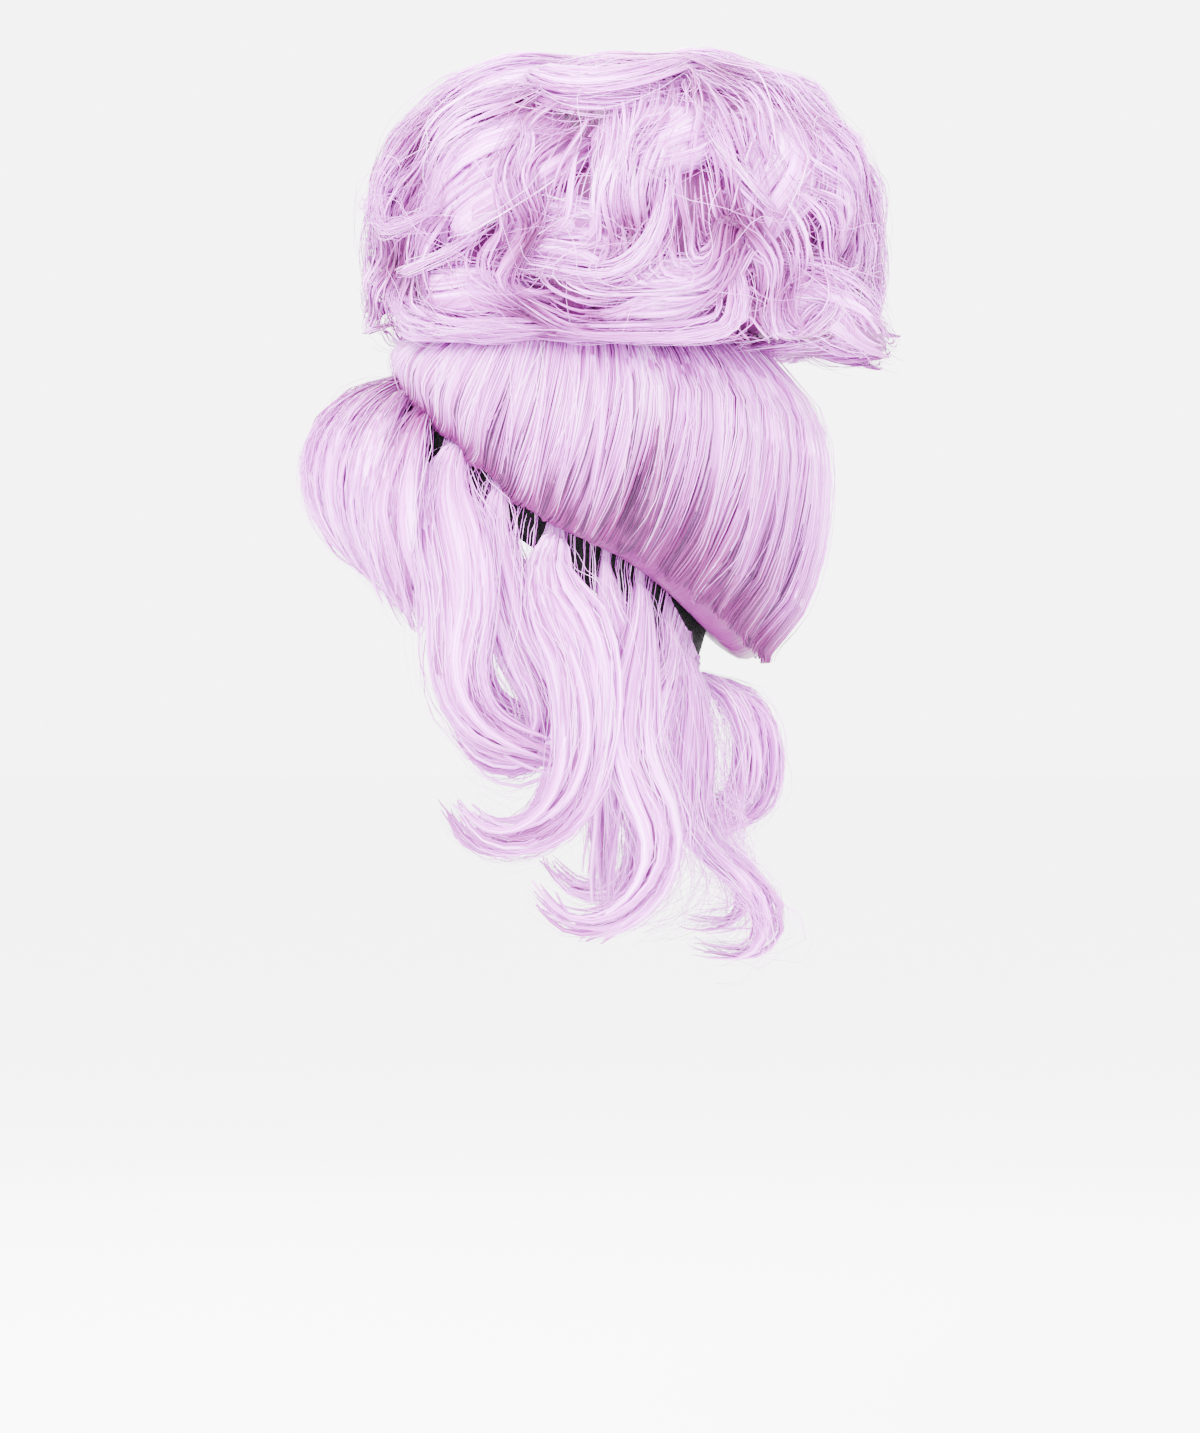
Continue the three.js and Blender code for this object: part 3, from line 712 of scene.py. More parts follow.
# Dark hairs painted as the shade in narrow gaps between the combed sections, the widest of
# them behind the ear.
SHADED_GAPS = [
    {"angle": 112, "half_angle": 3.4, "reach": 0.62, "hairs": 15},
    {"angle": 118, "half_angle": 0.9, "reach": 0.72, "hairs": 4},
    {"angle": 127, "half_angle": 1.0, "reach": 0.62, "hairs": 5},
    {"angle": 139, "half_angle": 1.6, "reach": 0.50, "hairs": 7},
    {"angle": 146, "half_angle": 0.7, "reach": 0.75, "hairs": 3},
    {"angle": 100, "half_angle": 0.7, "reach": 0.62, "hairs": 3},
    {"angle": 88, "half_angle": 0.6, "reach": 0.80, "hairs": 3},
    {"angle": 74, "half_angle": 0.8, "reach": 0.55, "hairs": 4},
    {"angle": 160, "half_angle": 1.6, "reach": 0.60, "hairs": 7},
]
for side in (1, -1):
    for row in SHADED_GAPS:
        lane = np.linspace(-1, 1, row["hairs"])[:, None] + rng.normal(0, 0.1, (row["hairs"], 1))
        across = lane * np.radians(row["half_angle"])
        ends = row["reach"] * (1 - 0.6 * lane ** 2) * rng.uniform(0.7, 1.15, lane.shape)
        crown_hair(hair, side * np.radians(row["angle"]) + across, rng, 11, lift=0.0024,
                   half_width=0.0003, half_thickness=0.0003, sides=3,
                   tone=rng.uniform(-0.85, -0.4, lane.shape), stray=0.01,
                   ends=np.maximum(ends, 0.1))
hair.finish("crown_sweep_hair", lilac_finish, "lilac_hair", ["crown_sweep"])
print("crown hair laid, triangles so far:", totals["triangles"])

# %% [markdown]
# Under the laid hair the crown keeps a closed layer of its own, so that no light shows through
# between the bundles. It is a merged copy of the solid, rounded by a subdivision surface.

# %% The crown's under layer
def dressed_copy(node, name, material, levels, tone=0.25, depth=0.75):
    """A merged and rounded copy of a solid, with a UV map that runs up the hair."""
    mesh = merged(node)
    bmesh.ops.recalc_face_normals(mesh, faces=mesh.faces)
    layer = mesh.loops.layers.uv.new("along_hair")
    for face in mesh.faces:
        face.smooth = True
        middle = face.calc_center_median()
        around = np.arctan2(middle.x, -(middle.y - AXIS_Y))
        for loop in face.loops:
            own = np.arctan2(loop.vert.co.x, -(loop.vert.co.y - AXIS_Y))
            own += 2 * np.pi * round((around - own) / (2 * np.pi))
            loop[layer].uv = (own * 0.1, loop.vert.co.z)
    data = bpy.data.meshes.new(name)
    mesh.to_mesh(data)
    mesh.free()
    for label, value in (("tone", tone), ("depth", depth)):
        data.attributes.new(label, "FLOAT", "POINT").data.foreach_set(
            "value", np.full(len(data.vertices), value, np.float32))
    data.materials.append(material)
    piece = bpy.data.objects.new(name, data)
    bpy.context.scene.collection.objects.link(piece)
    rounding = piece.modifiers.new("rounding", "SUBSURF")
    rounding.levels = rounding.render_levels = levels
    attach(piece, "root")
    return piece


# The under layer is painted in the deep shade colour, as the shade between the bundles.
under_crown = dressed_copy("crown_sweep", "crown_under_layer", shaded_teased_finish, 1,
                           tone=-0.1, depth=1.0)
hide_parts("crown_sweep")
print("under layer laid:", len(under_crown.data.polygons), "faces before it is rounded")

# %% [markdown]
# ## The bun
# The bun is a mass of big loose curls round a core of back-combed hair. The curls swoop from
# the top, cross over each other and hook under. Between them the core shows as violet frizz.

# %% Measure the bun's core
bun_tree = tree_of("bun_pad")
CORE = Vector((0, 0.046, 0.05))
AZIMUTHS = np.radians(np.arange(0, 361, 4))
ELEVATIONS = np.radians(np.arange(-88, 89, 4))


def direction_of(azimuth, elevation):
    return np.stack([np.sin(azimuth) * np.cos(elevation), -np.cos(azimuth) * np.cos(elevation),
                     np.sin(elevation)], -1)


core_reach = np.zeros((len(AZIMUTHS), len(ELEVATIONS)))
for row, azimuth in enumerate(AZIMUTHS):
    for column, elevation in enumerate(ELEVATIONS):
        hit = bun_tree.ray_cast(CORE, Vector(direction_of(azimuth, elevation)))
        core_reach[row, column] = hit[3]
print("core reaches from", round(core_reach.min(), 3), "to", round(core_reach.max(), 3))


def bun_point(azimuth, elevation, lift):
    """A point over the bun's core, lift outside it, for angles in radians."""
    out = read_grid(core_reach, azimuth, elevation, ELEVATIONS)
    return np.array(CORE) + direction_of(azimuth, elevation) * (out + lift)[..., None]

# %% [markdown]
# The core is a rounded copy of its solid. The big curls are filled like the hanging locks, but
# their roots and tips sink into the core, and the two flicks at the back turn up at their ends.

# %% The core and the curls that have a solid of their own
# The core is painted mostly in deep shade, as the shade of the hollows between the curls.
core = dressed_copy("bun_pad", "bun_pad_core", shaded_teased_finish, 2)
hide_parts("bun_pad")


# Painted shade where the curl's root and tip sink into the core.
def curl_end_shade(places):
    return 0.8 * ramp(places, 0.25, 0) + 0.7 * ramp(places, 0.8, 1)


# A highlight painted mid-way along the curl.
def curl_highlight(places):
    return 0.6 * hump(places, 0.45, 0.2) - 0.15


CURL_SUNK, ENDS_SUNK = 0.0045, 0.009


def loosened(path):
    """A curl's path, fuller at its root, which sinks into the core, and drawn in at its tip."""
    share = np.linspace(0, 1, SAMPLES)[:, None]
    arch = np.sin(np.pi * share)
    path.middle += unit(np.array(CORE) - path.middle) * (CURL_SUNK + ENDS_SUNK * (1 - arch ** 0.5))
    drawn_in = (0.85 + 0.4 * arch) * (1 - 0.6 * share ** 4)
    for sizes, fullness in ((path.across, drawn_in), (path.through, 0.5 + 0.35 * arch)):
        sizes[:] = unit(sizes) * np.linalg.norm(sizes, axis=1).max() * fullness
    return path


FLICK_TURN = (0, 0.008, 0.014)
curls = sorted(name for name in lock_paths if name.startswith("bun_"))
for order, name in enumerate(curls):
    hair = HairMesh()
    path = loosened(lock_paths[name])
    ridges, strands = 12, 22
    if name.startswith("bun_flick"):
        ridges, strands = 18, 80
        turned_up = ramp(np.linspace(0, 1, SAMPLES), 0.6, 1)[:, None] ** 2
        path.middle += turned_up * FLICK_TURN
        path.across *= 1 - 0.6 * turned_up
    fill_lock(hair, path, np.random.default_rng(400 + order), ridges, strands, 6,
              curl_end_shade, curl_highlight, tip=(0.84, 1.0), stray=0.0025, steps=14)
    hair.finish(name + "_hair", lilac_finish, "lilac_hair", [name])
print("curls:", len(curls), "triangles so far:", totals["triangles"])

# %% [markdown]
# ## Combed hair and wisps over the curls
# The bun's outer hair is combed over the curls in soft swoops that run into each other, and a
# few narrow wisps loop over it. Placing every hair by hand would take far too long, so a few
# guide lines say which way the hair runs, and each hair is traced along the guides nearest to
# it. The guides and wisps are drawn on the bun's side, as seen from the wearer's left, and the
# right side repeats the same lines a little changed.

# %% Guide lines and wisps, as [y, z] in millimetres seen from the left
# Each guide's shine is a highlight painted on the hair traced near it.
GUIDES = [
    {"shine": 0.5, "line": [(14, 142), (-22, 136), (-52, 125), (-80, 112)]},
    {"shine": 0.9, "line": [(18, 117), (-12, 105), (-37, 88), (-52, 67), (-58, 44)]},
    {"shine": 0.3, "line": [(-58, 118), (-73, 94), (-82, 67), (-80, 37), (-67, 12)]},
    {"shine": 0.6, "line": [(-80, 44), (-61, 16), (-33, -1), (-3, -8), (24, -6)]},
    {"shine": 0.1, "line": [(-25, 80), (-33, 54), (-42, 33), (-36, 8)]},
    {"shine": 0.7, "line": [(48, 135), (79, 138), (111, 132), (143, 117), (162, 96), (172, 68)]},
    {"shine": 0.9, "line": [(86, 124), (111, 103), (128, 82), (151, 62), (175, 46)]},
    {"shine": 0.7, "line": [(148, 68), (162, 37), (160, 7), (150, -22)]},
    {"shine": 0.4, "line": [(118, 72), (136, 42), (139, 12), (128, -16)]},
    {"shine": 1.0, "line": [(40, 114), (43, 86), (39, 60), (46, 36)]},
    {"shine": 0.8, "line": [(70, 112), (65, 88), (58, 65), (63, 44)]},
    {"shine": 0.2, "line": [(-10, 26), (14, 8), (32, -12), (56, -22)]},
    {"shine": 0.3, "line": [(104, 112), (108, 88), (122, 72), (140, 66)]},
    {"shine": 0.0, "line": [(88, 88), (96, 62), (112, 36), (110, 6)]},
    {"shine": 0.2, "line": [(108, 4), (128, -18), (152, -30), (178, -30)]},
    {"shine": 0.0, "line": [(2, 96), (-6, 72), (4, 50), (-6, 30)]},
    {"shine": 0.5, "line": [(6, -4), (40, -8), (70, 0), (90, 22), (94, 44)]},
]

WISPS = [
    {"half": 10, "lift": 23,
     "line": [(3, 138), (6, 122), (18, 113), (35, 110), (58, 116), (80, 126), (136, 126)]},
    {"half": 6, "lift": 16, "line": [(58, 101), (66, 71), (58, 41), (39, 27), (9, 31), (-27, 38)]},
    {"half": 9, "lift": 18,
     "line": [(74, 56), (93, 36), (93, 8), (74, -12), (46, -14), (20, -4), (-2, 12)]},
    {"half": 4, "lift": 16, "line": [(-60, 101), (-74, 71), (-60, 52), (-38, 58), (-32, 74)]},
    {"half": 3, "lift": 17, "line": [(-76, 40), (-52, 32), (-27, 40), (-12, 52)]},
    {"half": 3, "lift": 16, "line": [(128, 40), (141, 18), (148, -6), (164, -22)]},
    {"half": 3, "lift": 16, "line": [(-4, 104), (4, 88), (0, 70), (-10, 60)]},
    {"half": 4, "lift": 16, "line": [(77, 108), (88, 82), (107, 60), (124, 52)]},
    {"half": 10, "lift": 15, "line": [(-78, 50), (-62, 20), (-33, 2), (-3, -6), (22, -4)]},
    {"half": 9, "lift": 15, "line": [(40, 112), (44, 86), (40, 60), (47, 40)]},
    {"half": 9, "lift": 15,
     "line": [(-6, 132), (6, 118), (22, 109), (42, 107), (62, 112), (84, 121)]},
]

# Guides over the front, the back and the top, as [azimuth, elevation] in degrees round the core.
ROUND_GUIDES = [
    {"shine": 0.7, "line": [(30, 66), (14, 48), (6, 26), (16, 0)]},
    {"shine": 0.5, "line": [(-26, 62), (-20, 42), (-30, 18), (-20, -8)]},
    {"shine": 0.2, "line": [(24, -4), (6, -16), (-14, -14), (-30, -2)]},
    {"shine": 0.6, "line": [(158, 64), (172, 44), (166, 20), (174, -8)]},
    {"shine": 0.7, "line": [(202, 60), (192, 40), (200, 16), (190, -12)]},
    {"shine": 0.2, "line": [(216, -2), (196, -14), (176, -20), (158, -12)]},
    {"shine": 0.6, "line": [(12, 52), (24, 72), (90, 83), (156, 70), (170, 52)]},
    {"shine": 0.6, "line": [(-16, 50), (-30, 70), (-95, 80), (-150, 68), (-166, 50)]},
    {"shine": 0.4, "line": [(50, 48), (70, 60), (110, 60), (134, 48)]},
]

ROUND_WISPS = [
    {"half": 7, "lift": 15, "line": [(-44, 30), (-18, 12), (10, 8), (36, 20)]},
    {"half": 7, "lift": 15, "line": [(140, 34), (166, 22), (190, 26), (214, 10)]},
    {"half": 8, "lift": 9, "line": [(90, 52), (110, 68), (160, 66), (176, 50)]},
    {"half": 8, "lift": 9, "line": [(-100, 54), (-50, 64), (-14, 56), (0, 42)]},
]
print("guide lines:", 2 * len(GUIDES) + len(ROUND_GUIDES))

# %% [markdown]
# A line drawn in the side view is brought onto the core by a ray sent in from that side. Each
# hair then takes short steps. At every step it turns the way that the guides and curls near it
# run, weighted by how near they are, and is set back to its own height above the core.

# %% Comb the hair along the guides
def angles_from_core(offset):
    """Azimuth and elevation of points given from the core's middle."""
    return (np.arctan2(offset[..., 0], -offset[..., 1]),
            np.arctan2(offset[..., 2], np.hypot(offset[..., 0], offset[..., 1])))


TOP_EDGE_X, LOW_EDGE_X = 0.03, 0.085


def side_angles(y, z, side):
    """The azimuth and elevation at which the bun's core is seen at y and z from the side."""
    hit = bun_tree.ray_cast(Vector((OUTSIDE * side, y, z)), Vector((-side, 0, 0)))[0]
    edge_x = TOP_EDGE_X if z > CORE.z else LOW_EDGE_X
    spot = hit or bun_tree.find_nearest(Vector((edge_x * side, y, z)))[0]
    return angles_from_core(np.array(spot - CORE))


def line_path(angles, lift):
    """A line over the core as a path, with its directions across and outwards."""
    azimuths, elevations = np.array(angles).T
    drawn = smooth_path(np.stack([np.unwrap(azimuths), elevations], -1), 25)
    middle = bun_point(drawn[:, 0], drawn[:, 1], lift)
    outward = unit(middle - np.array(CORE))
    across = unit(np.cross(outward, np.gradient(middle, axis=0)))
    return LockPath(middle, across, outward)


def drawn_lines(rows):
    """The angles of each row's line for either side, the right side a little changed."""
    for side, label in ((1, "left"), (-1, "right")):
        for order, row in enumerate(rows):
            jitter = np.random.default_rng(500 + order).normal(0, 5 if side < 0 else 0, (9, 2))
            points = [(y + shift[0], z + shift[1]) for (y, z), shift in zip(row["line"], jitter)]
            yield label, order, row, [side_angles(y / 1000, z / 1000, side) for y, z in points]


SIDE_GUIDE_LIFT, ROUND_GUIDE_LIFT = 0.016, 0.014
# How strongly a curl's middle paints a highlight on the hair near it.
CURL_SHINE = 0.7
guides = [(row["shine"], line_path(angles, SIDE_GUIDE_LIFT))
          for _, _, row, angles in drawn_lines(GUIDES)]
guides += [(row["shine"], line_path(np.radians(row["line"]), ROUND_GUIDE_LIFT))
           for row in ROUND_GUIDES]
places = np.linspace(0, 1, 12)
shiny_middle = hump(places, 0.45, 0.25)
guide_spots = [path.at(path.middle, places) for _, path in guides]
guide_ways = [unit(np.gradient(spots, axis=0)) for spots in guide_spots]
guide_shine = [shine * shiny_middle for shine, _ in guides]
drawn_spots, drawn_ways = np.concatenate(guide_spots), np.concatenate(guide_ways)
for name in curls:
    spots = lock_paths[name].at(lock_paths[name].middle, places)
    ways = unit(np.gradient(spots, axis=0))
    nearest = ((spots[:, None] - drawn_spots) ** 2).sum(-1).argmin(1)
    guide_spots.append(spots)
    guide_ways.append(ways * np.sign((ways * drawn_ways[nearest]).sum()))
    guide_shine.append(CURL_SHINE * shiny_middle)
guide_spots, guide_ways, guide_shine = (
    np.concatenate(values) for values in (guide_spots, guide_ways, guide_shine))


SWELL = 0.0035
GUIDE_BLUR = 0.006
FLATTENED_TOP = np.radians((42, 72))


def swell(spots):
    """Broad soft rises and hollows over the bun, from -1 to 1."""
    return np.sin(spots @ (85, 60, 40)) * np.cos(spots @ (30, -70, 80))


def settled(lift, elevation):
    """Hair lies flatter towards the top of the bun."""
    return lift * (1 - 0.5 * ramp(elevation, *FLATTENED_TOP))


def lower_edge(azimuth):
    """The lowest elevation of the combed hair, which ends higher over the brow."""
    return np.radians(-38 + 19 * ramp(np.cos(azimuth), 0, 1) ** 2)


def comb(name, rng, count, steps, lengths, lifts, sides, widths, thickness, heights):
    """Hairs traced along the guides nearest to them, over the curls."""
    azimuth = rng.uniform(0, 2 * np.pi, count)
    elevation = np.arcsin(rng.uniform(*heights, count))
    lift = rng.uniform(*lifts, count)
    length = rng.uniform(*lengths, (count, 1))
    spots = bun_point(azimuth, elevation, lift)
    turn = rng.normal(0, 0.09, (count, 1))
    middles, shine = [], []
    for share in np.linspace(0, 1, steps):
        around, up = angles_from_core(spots - np.array(CORE))
        raised = lift + SWELL * swell(spots) + 0.003 * np.sin(np.pi * share) - 0.002
        spots = bun_point(around, np.maximum(up, lower_edge(around)), settled(raised, up))
        away = ((spots[:, None] - guide_spots) ** 2).sum(-1)
        weight = 1 / (away + GUIDE_BLUR ** 2) ** 2
        weight /= weight.sum(1, keepdims=True)
        middles.append(spots)
        shine.append(weight @ guide_shine)
        way = weight @ guide_ways
        way = way + np.cross(unit(spots - np.array(CORE)), way) * turn
        spots = spots + unit(way) * length / (steps - 1)
    middles, shine = np.stack(middles, 1), np.stack(shine, 1)
    share = np.linspace(0, 1, steps)
    taper = tapered(share, 0.15, 4)
    hair = HairMesh()
    # Painted shade on hair that lies lower and near its roots, painted highlight from the guides
    # near it, and the swell painted paler on its rises and deeper in its hollows.
    buried_shade = ramp(lifts[1] - lift, 0, 0.008)[:, None]
    swell_light_and_shade = swell(middles)
    depth = 0.36 + 0.3 * buried_shade + 0.3 * ramp(share, 0.2, 0) - 1.1 * shine - 0.4 * swell_light_and_shade
    tone = rng.uniform(-0.15, 0.4, (count, 1)) + 1.2 * shine + 0.3 * swell_light_and_shade
    hair.add(middles, middles - np.array(CORE), rng.uniform(*widths, (count, 1)) * taper,
             thickness * taper, sides, tone, np.clip(depth, 0, 1))
    hair.finish(name, lilac_finish, "lilac_hair")


# Heights run from -1 at the core's foot to 1 at its top.
ALL_OVER, TOP_ONLY = (-0.55, 0.97), (0.8, 1.0)
COMBED = [
    {"name": "bun_combed_sections", "count": 900, "steps": 13, "lengths": (0.05, 0.09),
     "lifts": (0.010, 0.015), "sides": 4, "widths": (0.001, 0.0022), "thickness": 0.0004,
     "heights": ALL_OVER},
    {"name": "bun_combed_hair", "count": 1950, "steps": 12, "lengths": (0.04, 0.09),
     "lifts": (0.012, 0.017), "sides": 3, "widths": (0.00022, 0.00046), "thickness": 0.0002,
     "heights": ALL_OVER},
    {"name": "bun_combed_top", "count": 210, "steps": 13, "lengths": (0.04, 0.065),
     "lifts": (0.015, 0.021), "sides": 4, "widths": (0.001, 0.0022), "thickness": 0.0004,
     "heights": TOP_ONLY},
]
for order, row in enumerate(COMBED):
    comb(rng=np.random.default_rng(610 + order), **row)
print("combed hair laid, triangles so far:", totals["triangles"])

# %% [markdown]
# A wisp is a narrow flat lock. Its hairs lie side by side across its line, arch up over the rest
# in the middle, and sink back into the bun at both ends.

# %% Lay the wisps
RIDGE_PITCH, STRAND_PITCH = 0.0024, 0.0005


def lay_wisp(hair, path, half, lift, rng):
    def lay(lanes, steps, starts, ends, sides, width, thickness, above, tones, wander):
        count = len(lanes)
        share = np.linspace(0, 1, steps)
        first = rng.uniform(*starts, (count, 1))
        places = first + (rng.uniform(*ends, (count, 1)) - first) * share
        drift = wander * own_wave(rng, share, (0.5, 1.5), count)
        fullness = (0.45 + 0.6 * np.sin(np.pi * (0.06 + 0.8 * places))) * (1 - 0.5 * places ** 3)
        sideways = half * fullness * (lanes + drift)
        raised = ((lift + 0.006) * np.sin(np.pi * (0.04 + 0.87 * places)) ** 0.6 - 0.006
                  - 0.2 * lift * lanes ** 2 + above)
        flat = path.at(path.middle, places) + path.at(path.across, places) * sideways[..., None]
        around, up = angles_from_core(flat - np.array(CORE))
        middles = bun_point(around, up, settled(raised, up))
        taper = tapered(share, 0.2, 4)
        # Painted highlight mid-way and painted shade at the ends, as on the curls.
        hair.add(middles, middles - np.array(CORE), width * taper, thickness * taper, sides,
                 rng.uniform(*tones, (count, 1)) + curl_highlight(places), curl_end_shade(places))

    ridges = max(3, round(half / RIDGE_PITCH))
    even = (np.linspace(-0.85, 0.85, ridges) + rng.uniform(-0.12, 0.12, ridges))[:, None]
    lay(even, 14, starts=(0.0, 0.15), ends=(0.82, 1.0), sides=6,
        width=half / ridges * rng.uniform(1.1, 1.8, (ridges, 1)) * (1 - 0.4 * even ** 2),
        thickness=rng.uniform(0.0008, 0.0014, (ridges, 1)),
        above=rng.uniform(-0.001, 0.001, (ridges, 1)), tones=(-0.1, 0.65), wander=0.08)
    strands = 16 + round(half / STRAND_PITCH)
    lay(np.clip(rng.normal(0, 0.65, (strands, 1)), -1.4, 1.4), 11, starts=(0.0, 0.2),
        ends=(0.7, 1.0), sides=3, width=rng.uniform(0.00028, 0.0005, (strands, 1)),
        thickness=0.00024, above=rng.uniform(0.0012, 0.0026, (strands, 1)), tones=(-0.15, 1.0),
        wander=0.14)
    lay(rng.normal(0, 1.0, (12, 1)), 12, starts=(0.0, 0.4), ends=(0.6, 1.0), sides=3,
        width=0.00016, thickness=0.00014, above=rng.uniform(0.002, 0.006, (12, 1)),
        tones=(0.3, 1.2), wander=0.6)


def add_wisp(name, angles, row, seed):
    hair = HairMesh()
    lay_wisp(hair, line_path(angles, row["lift"] / 1000), row["half"] / 1000, row["lift"] / 1000,
             np.random.default_rng(seed))
    hair.finish(name, lilac_finish, "lilac_hair")


for label, order, row, angles in drawn_lines(WISPS):
    add_wisp(f"bun_wisp_{label}_{order + 1}", angles, row, 620 + order)
for order, row in enumerate(ROUND_WISPS):
    add_wisp(f"bun_round_wisp_{order + 1}", np.radians(row["line"]), row, 700 + order)
print("wisps:", 2 * len(WISPS) + len(ROUND_WISPS), "triangles so far:", totals["triangles"])

# %% [markdown]
# ## Frizz
# The core's hair is back-combed, so it stands in tangled arcs that fill the hollows and catch
# the light. Each frizz strand starts somewhere on the core and turns steadily as it goes.

# %% Tangle the frizz over the bun
BUN_RADIUS = 0.11
FRIZZ_SPAN = np.radians((-40, 78))
ARC_RISE = 0.006


def frizz(name, rng, count, steps, length, lifts, thickness, tones, depth, material, slot):
    tone = rng.uniform(*tones, (count, 1))
    azimuth = rng.uniform(0, 2 * np.pi, (count, 1))
    elevation = np.arcsin(rng.uniform(*ALL_OVER, (count, 1)))
    heading = rng.uniform(0, 2 * np.pi, (count, 1))
    bend = rng.normal(0, 2.4, (count, 1))
    share = np.linspace(0, 1, steps)
    turning = heading + bend * share + 0.5 * np.sin(2 * np.pi * (share * 1.5 + heading))
    stride = rng.uniform(0.5, 1.2, (count, 1)) * length / (steps - 1) / BUN_RADIUS
    up = np.cumsum(np.sin(turning) * stride, 1)
    around = np.cumsum(np.cos(turning) * stride, 1)
    high = np.clip(elevation + up, *FRIZZ_SPAN)
    wide = azimuth + around / np.maximum(np.cos(elevation), 0.35)
    base = rng.uniform(*lifts, (count, 1))
    raised = base + ARC_RISE * np.sin(np.pi * share) * rng.uniform(0, 1, (count, 1))
    middles = bun_point(wide, high, settled(raised, high))
    hair = HairMesh()
    hair.add(middles, middles - np.array(CORE), thickness * (1 - 0.4 * share), thickness * 0.85, 3,
             tone, np.full((count, steps), depth))
    hair.finish(name, material, slot)


# The frizz low on the core is painted in more shade than the flyaways above it.
FRIZZ = [
    {"name": "bun_frizz", "count": 530, "steps": 11, "length": 0.07, "lifts": (0.001, 0.014),
     "thickness": 0.00021, "tones": (0, 1.1), "depth": 0.4,
     "material": shaded_teased_finish, "slot": "teased_hair"},
    {"name": "bun_flyaways", "count": 380, "steps": 12, "length": 0.08, "lifts": (0.011, 0.018),
     "thickness": 0.00016, "tones": (0.4, 1.2), "depth": 0.1,
     "material": lilac_finish, "slot": "lilac_hair"},
]
rng = np.random.default_rng(800)
for row in FRIZZ:
    frizz(rng=rng, **row)
print("frizz laid, triangles so far:", totals["triangles"])

# %% [markdown]
# ## The cap
# The cap is a black stretch net that shows behind the ears, between the crown and the locks.
# It keeps the solid's form, rounded, and its knit is a small raised net in the material.

# %% The net finish and the cap
NET_GAP = (0.001, 0.001, 0.0012, 1)
NET_THREAD = (0.006, 0.0055, 0.0065, 1)
CELLS_PER_METRE = 520.0


def net_material(name):
    material, tree, shader = new_material(name)
    place = add_node(tree, "ShaderNodeTexCoord", output=3)
    cells = add_node(tree, "ShaderNodeTexVoronoi", {"feature": "DISTANCE_TO_EDGE"},
                     {"Vector": place, "Scale": CELLS_PER_METRE})
    thread = ((0.16 - cells) * 9.0).clamped()
    cloudy = add_node(tree, "ShaderNodeTexNoise", {},
                      {"Vector": place, "Scale": 40.0, "Detail": 3.0})
    colour = blend_colours(tree, (thread * 0.7 + cloudy * 0.3).clamped(), NET_GAP, NET_THREAD)
    plug(tree, colour, shader.inputs["Base Color"])
    plug(tree, 0.85 - thread * 0.25, shader.inputs["Roughness"])
    bump = add_node(tree, "ShaderNodeBump", {},
                    {"Height": thread, "Strength": 0.8, "Distance": 0.0006})
    plug(tree, bump, shader.inputs["Normal"])
    shader.inputs["Specular IOR Level"].default_value = 0.08
    return material


net_finish = net_material("cap_net")
cap = dressed_copy("wig_cap", "wig_cap_net", net_finish, 1)
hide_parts("wig_cap")
print("cap dressed:", len(cap.data.polygons), "faces before it is rounded")

# %% [markdown]
# ## Stage and light
# The wig is shown as it was photographed, in an evenly lit white studio. A bright world gives
# most of the light, and large soft lights on both sides shape it and keep the shadows pale.

# %% Floor and light
FLOOR_HALF = 30
FLOOR_HEIGHT = -0.62
FLOOR_COLOUR = (0.95, 0.95, 0.95, 1)
WORLD_STRENGTH = 6.6
LIGHT_AIM = Vector((0, 0.03, -0.05))
stage = bmesh.new()
bmesh.ops.create_grid(stage, x_segments=1, y_segments=1, size=FLOOR_HALF)
floor_mesh = bpy.data.meshes.new("floor")
stage.to_mesh(floor_mesh)
stage.free()
floor = bpy.data.objects.new("floor", floor_mesh)
floor.location.z = FLOOR_HEIGHT
bpy.context.scene.collection.objects.link(floor)
floor_finish, _, floor_shader = new_material("floor_paint")
floor_shader.inputs["Base Color"].default_value = FLOOR_COLOUR
floor_shader.inputs["Roughness"].default_value = 0.9
floor_mesh.materials.append(floor_finish)

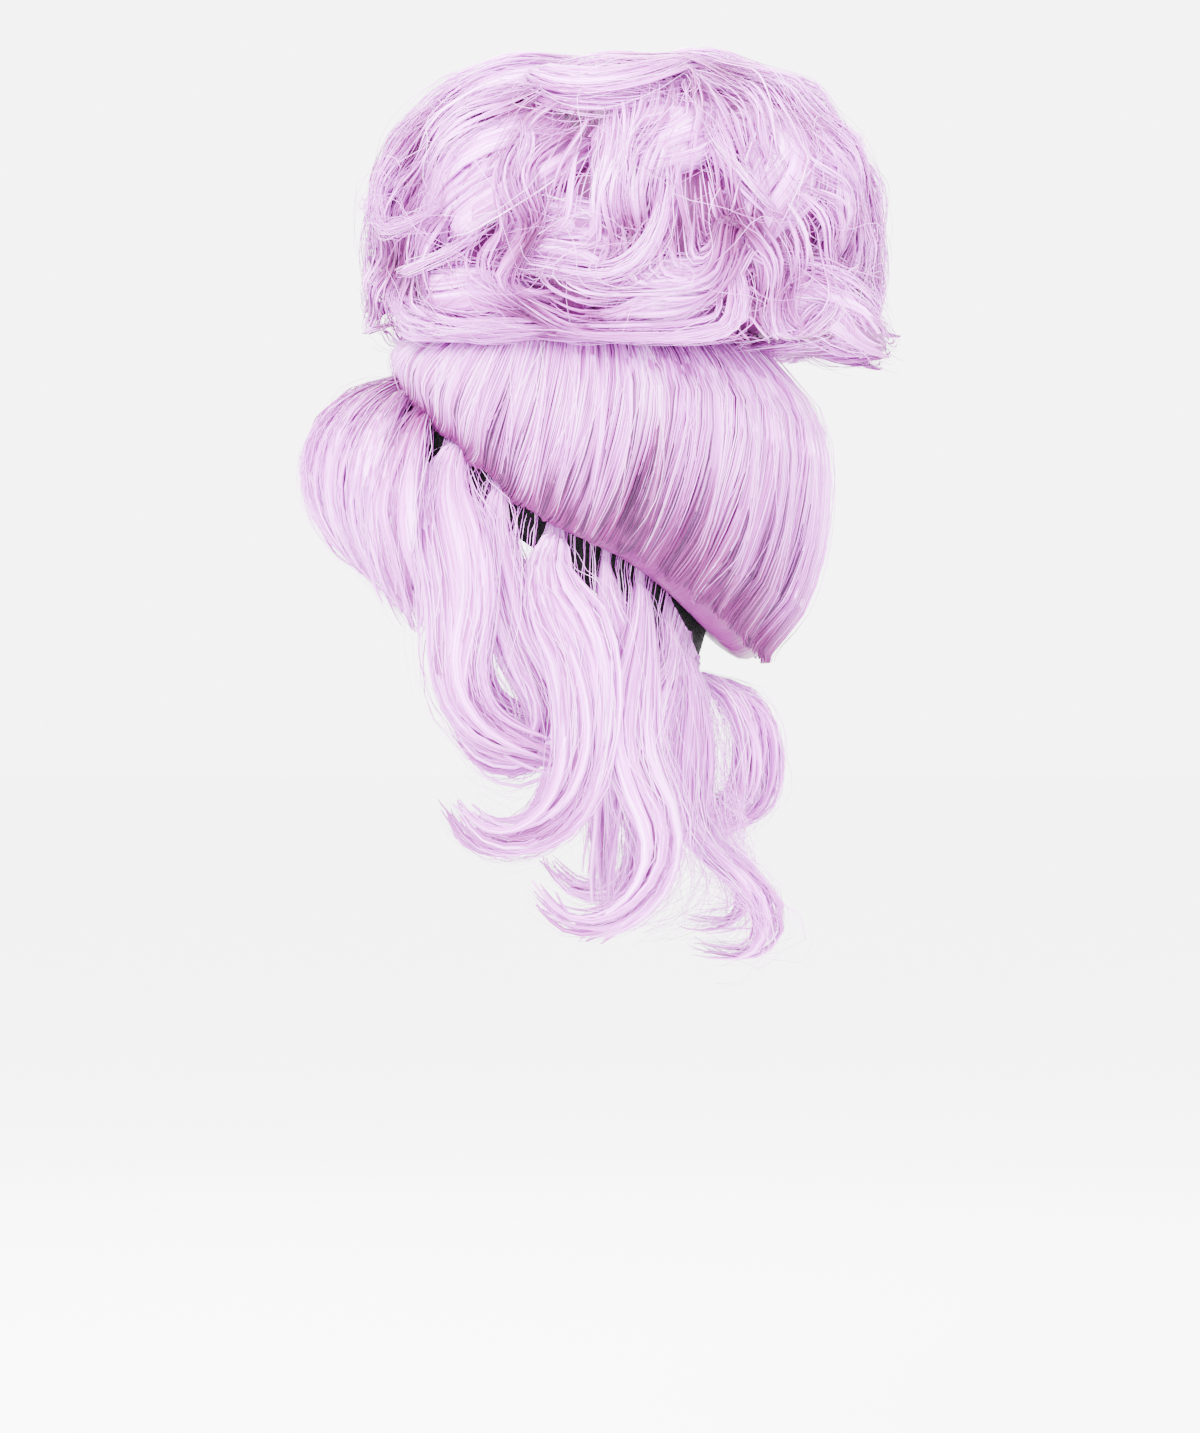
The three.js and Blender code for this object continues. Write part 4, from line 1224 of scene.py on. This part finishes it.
world = bpy.data.worlds.new("studio")
world.use_nodes = True
world.node_tree.nodes["Background"].inputs["Color"].default_value = (1, 1, 1, 1)
world.node_tree.nodes["Background"].inputs["Strength"].default_value = WORLD_STRENGTH
bpy.context.scene.world = world


def softbox(name, place, size, power):
    streaks_and_highlight = bpy.data.lights.new(name, "AREA")
    streaks_and_highlight.shape = "RECTANGLE"
    streaks_and_highlight.size, streaks_and_highlight.size_y = size
    streaks_and_highlight.energy = power
    lamp = bpy.data.objects.new(name, streaks_and_highlight)
    lamp.location = place
    aim = LIGHT_AIM - Vector(place)
    lamp.rotation_euler = aim.to_track_quat("-Z", "Y").to_euler()
    bpy.context.scene.collection.objects.link(lamp)


softbox("key", (1.3, -0.9, 1.2), (0.9, 0.9), 170)
softbox("fill", (1.2, 1.3, 0.3), (1.2, 1.2), 45)
softbox("far_side", (-1.4, -0.4, 0.9), (1.2, 1.2), 60)
softbox("top", (0, 0.1, 1.6), (0.8, 0.8), 70)
print("softboxes:", len(bpy.data.lights))

# %% [markdown]
# ## Camera
# The camera stands level on the wearer's left. The picture's scale and the pixel where the
# middle of the head falls give its lens and its place.

# %% Camera
IMAGE = (1200, 1433)
METRES_PER_PIXEL = 0.00052
HEAD_PIXEL = (535, 340)
DISTANCE = 2.4
SENSOR = 24
camera_data = bpy.data.cameras.new("camera")
camera_data.sensor_fit = "VERTICAL"
camera_data.sensor_height = SENSOR
camera_data.lens = SENSOR * DISTANCE / (IMAGE[1] * METRES_PER_PIXEL)
camera = bpy.data.objects.new("camera", camera_data)
camera.location = (DISTANCE, (IMAGE[0] / 2 - HEAD_PIXEL[0]) * METRES_PER_PIXEL,
                   (HEAD_PIXEL[1] - IMAGE[1] / 2) * METRES_PER_PIXEL)
camera.rotation_euler = (np.pi / 2, 0, np.pi / 2)
bpy.context.scene.collection.objects.link(camera)
bpy.context.scene.camera = camera
print("camera lens:", round(camera_data.lens, 1), "mm")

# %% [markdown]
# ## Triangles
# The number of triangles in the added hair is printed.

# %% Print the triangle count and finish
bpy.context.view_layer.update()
print("triangles added:", totals["triangles"])
